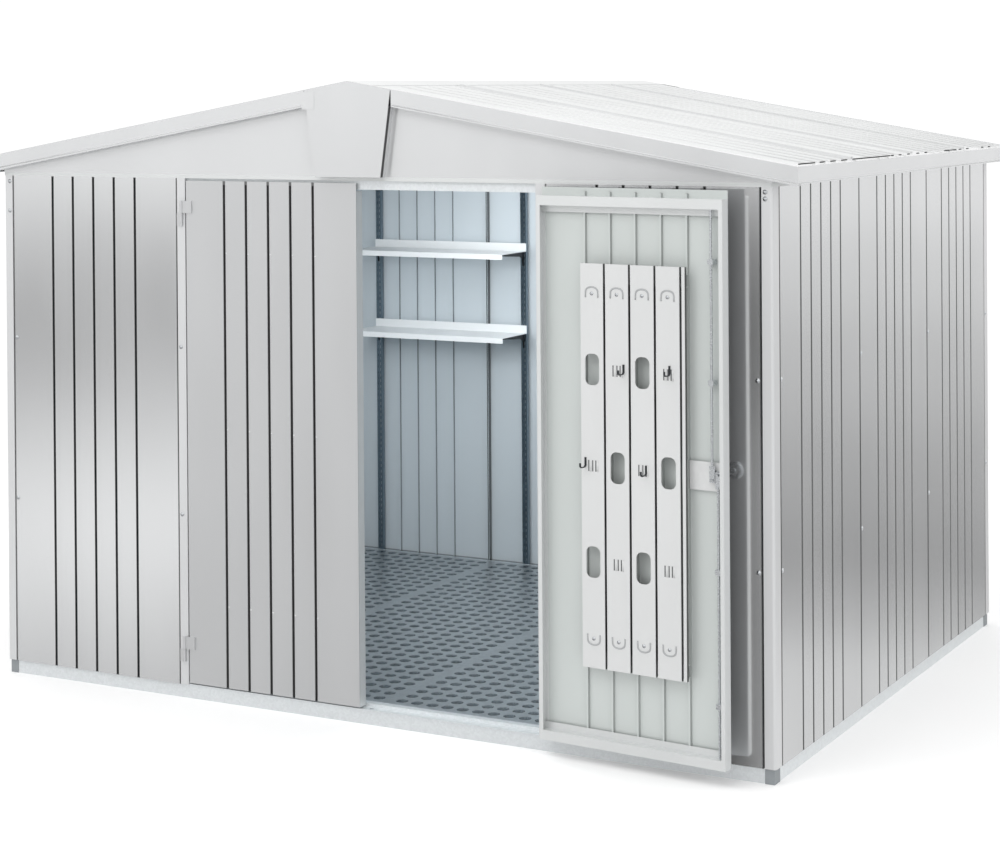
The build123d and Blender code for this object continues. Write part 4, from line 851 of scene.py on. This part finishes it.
# %% [markdown]
# ## Hems and joint covers
#
# A cut edge of thin sheet is folded back on itself, a hem, which shows as a fine rounded line
# along the eaves and verges. A bar with an oval section is enough for it. A small flat plate
# covers the joint between the centre plate of a gable and the trim to its left.

# %% Hems and joint covers
EAVE_X, EAVE_LOW, EAVE_START = 1.5545, 1.7945, -1.155
VERGE_Y, VERGE_RISE, VERGE_SPAN = 1.1615, 0.1685, (0.170, 1.552)
HEM = oval(5 * MM, 5 * MM, 8)
LAP_X, LAP_Y, LAP_LOW, LAP_HIGH = 0.150, 1.1634, 2.014, 2.073
LAP = np.array([(-24, -0.8), (24, -0.8), (24, 0.8), (-24, 0.8)]) * MM
UP = (0, 0, 1)
starts = np.array([(side * EAVE_X, EAVE_START, EAVE_LOW) for side in (-1, 1)])
points, faces = bars(starts, starts * (1, -1, 1), ALONG_X, UP, HEM)
place_mesh("eave_hems", points, faces, "shed", plain_silver)
corners = [(sx, sy) for sx in (-1, 1) for sy in (-1, 1)]
rise = VERGE_RISE * (VERGE_SPAN[1] - VERGE_SPAN[0])
starts = [(sx * VERGE_SPAN[1], sy * VERGE_Y, EAVE_LOW) for sx, sy in corners]
finishes = [(sx * VERGE_SPAN[0], sy * VERGE_Y, EAVE_LOW + rise) for sx, sy in corners]
points, faces = bars(starts, finishes, ALONG_Y, UP, HEM)
place_mesh("verge_hems", points, faces, "shed", plain_silver)
starts = np.array([(-side * LAP_X, -side * LAP_Y, LAP_LOW) for side in (1, -1)])
points, faces = bars(starts, starts + (0, 0, LAP_HIGH - LAP_LOW), ALONG_X, ALONG_Y, LAP)
place_mesh("gable_laps", points, faces, "shed", gable_silver, smooth=False)

# %% [markdown]
# ## Roof ribs, and eave seals as painted shade
#
# The roof sheets have low rounded ribs from ridge to eave, spread over each sheet between its
# seams. Along each eave, under the sheets' lower edge, lies a row of short dashes of dark rubber.
# They are painted shade, for the shadowed gaps where the sheet lifts off the eave trim.

# %% Ribs and eave seals as painted shade
RIB_RUNS = ((-1.001, 0.092, 5), (-0.400, 0.090, 4), (0.190, 0.090, 5), (0.790, 0.090, 4))
RIB_TOP, RIB_FOOT, RIB = (0.110, 2.0845), (1.548, 1.8425), oval(9 * MM, 7 * MM, 8)
# Painted shade: the dashes' place, section and runs along each eave.
SEAL_SHADE_PLACE, SEAL_SHADE = (1.5550, 1.8500), oval(5 * MM, 4 * MM, 8)
SEAL_SHADE_RUNS = np.array([(-1.154, -1.020), (-0.972, -0.933), (-0.878, -0.838), (-0.781, -0.735),
                      (-0.677, -0.317), (-0.30, -0.28), (-0.22, -0.20), (-0.13, -0.11),
                      (-0.03, -0.01), (0.06, 0.08), (0.285, 0.420), (0.46, 0.48), (0.55, 0.57),
                      (0.74, 0.76), (0.83, 0.85), (1.02, 1.15)])
rib_places = np.concatenate([first + step * np.arange(count) for first, step, count in RIB_RUNS])


def row(side, place, runs):
    """Points (side x, y, z) for one x and z, and every y in runs."""
    x, z = place
    return np.stack([np.full(len(runs), side * x), runs, np.full(len(runs), z)], -1)


for side, name in ((-1, "left"), (1, "right")):
    points, faces = bars(row(side, RIB_TOP, rib_places), row(side, RIB_FOOT, rib_places),
                         ALONG_Y, UP, RIB)
    place_mesh(name + "_roof_ribs", points, faces, "shed", roof_coat)
# Rows of dark rubber dashes, painted shade of the gaps under each eave.
for side, name in ((-1, "left"), (1, "right")):
    points, faces = bars(row(side, SEAL_SHADE_PLACE, SEAL_SHADE_RUNS[:, 0]),
                         row(side, SEAL_SHADE_PLACE, SEAL_SHADE_RUNS[:, 1]), ALONG_X, UP, SEAL_SHADE)
    place_mesh(name + "_eave_seal_shade", points, faces, "shed", seal_shade_rubber)

# %% [markdown]
# ## The lock's round cap
#
# Outside, the lock's lever turns on a spindle that comes through a round pressed cap. The cap
# hides the hole in the sheet. Its profile is a low cone with a rolled rim, turned round the
# spindle.

# %% Round cap
LOCK_PLACE, CAP_SIDES = (0.056, FRONT_Y, 0.920), 40
CAP = np.array([(12.6, 0), (12.6, 5.5), (15, 6.0), (22, 4.6), (26, 2.8), (27.5, 1.4), (27.5, 0),
                (12.6, 0)]) * MM
points, faces = turned(opened([LOCK_PLACE]), opened_way((0, -1, 0)), CAP, CAP_SIDES)
place_mesh("lock_rosette", points, faces, "right_door", bright_zinc)
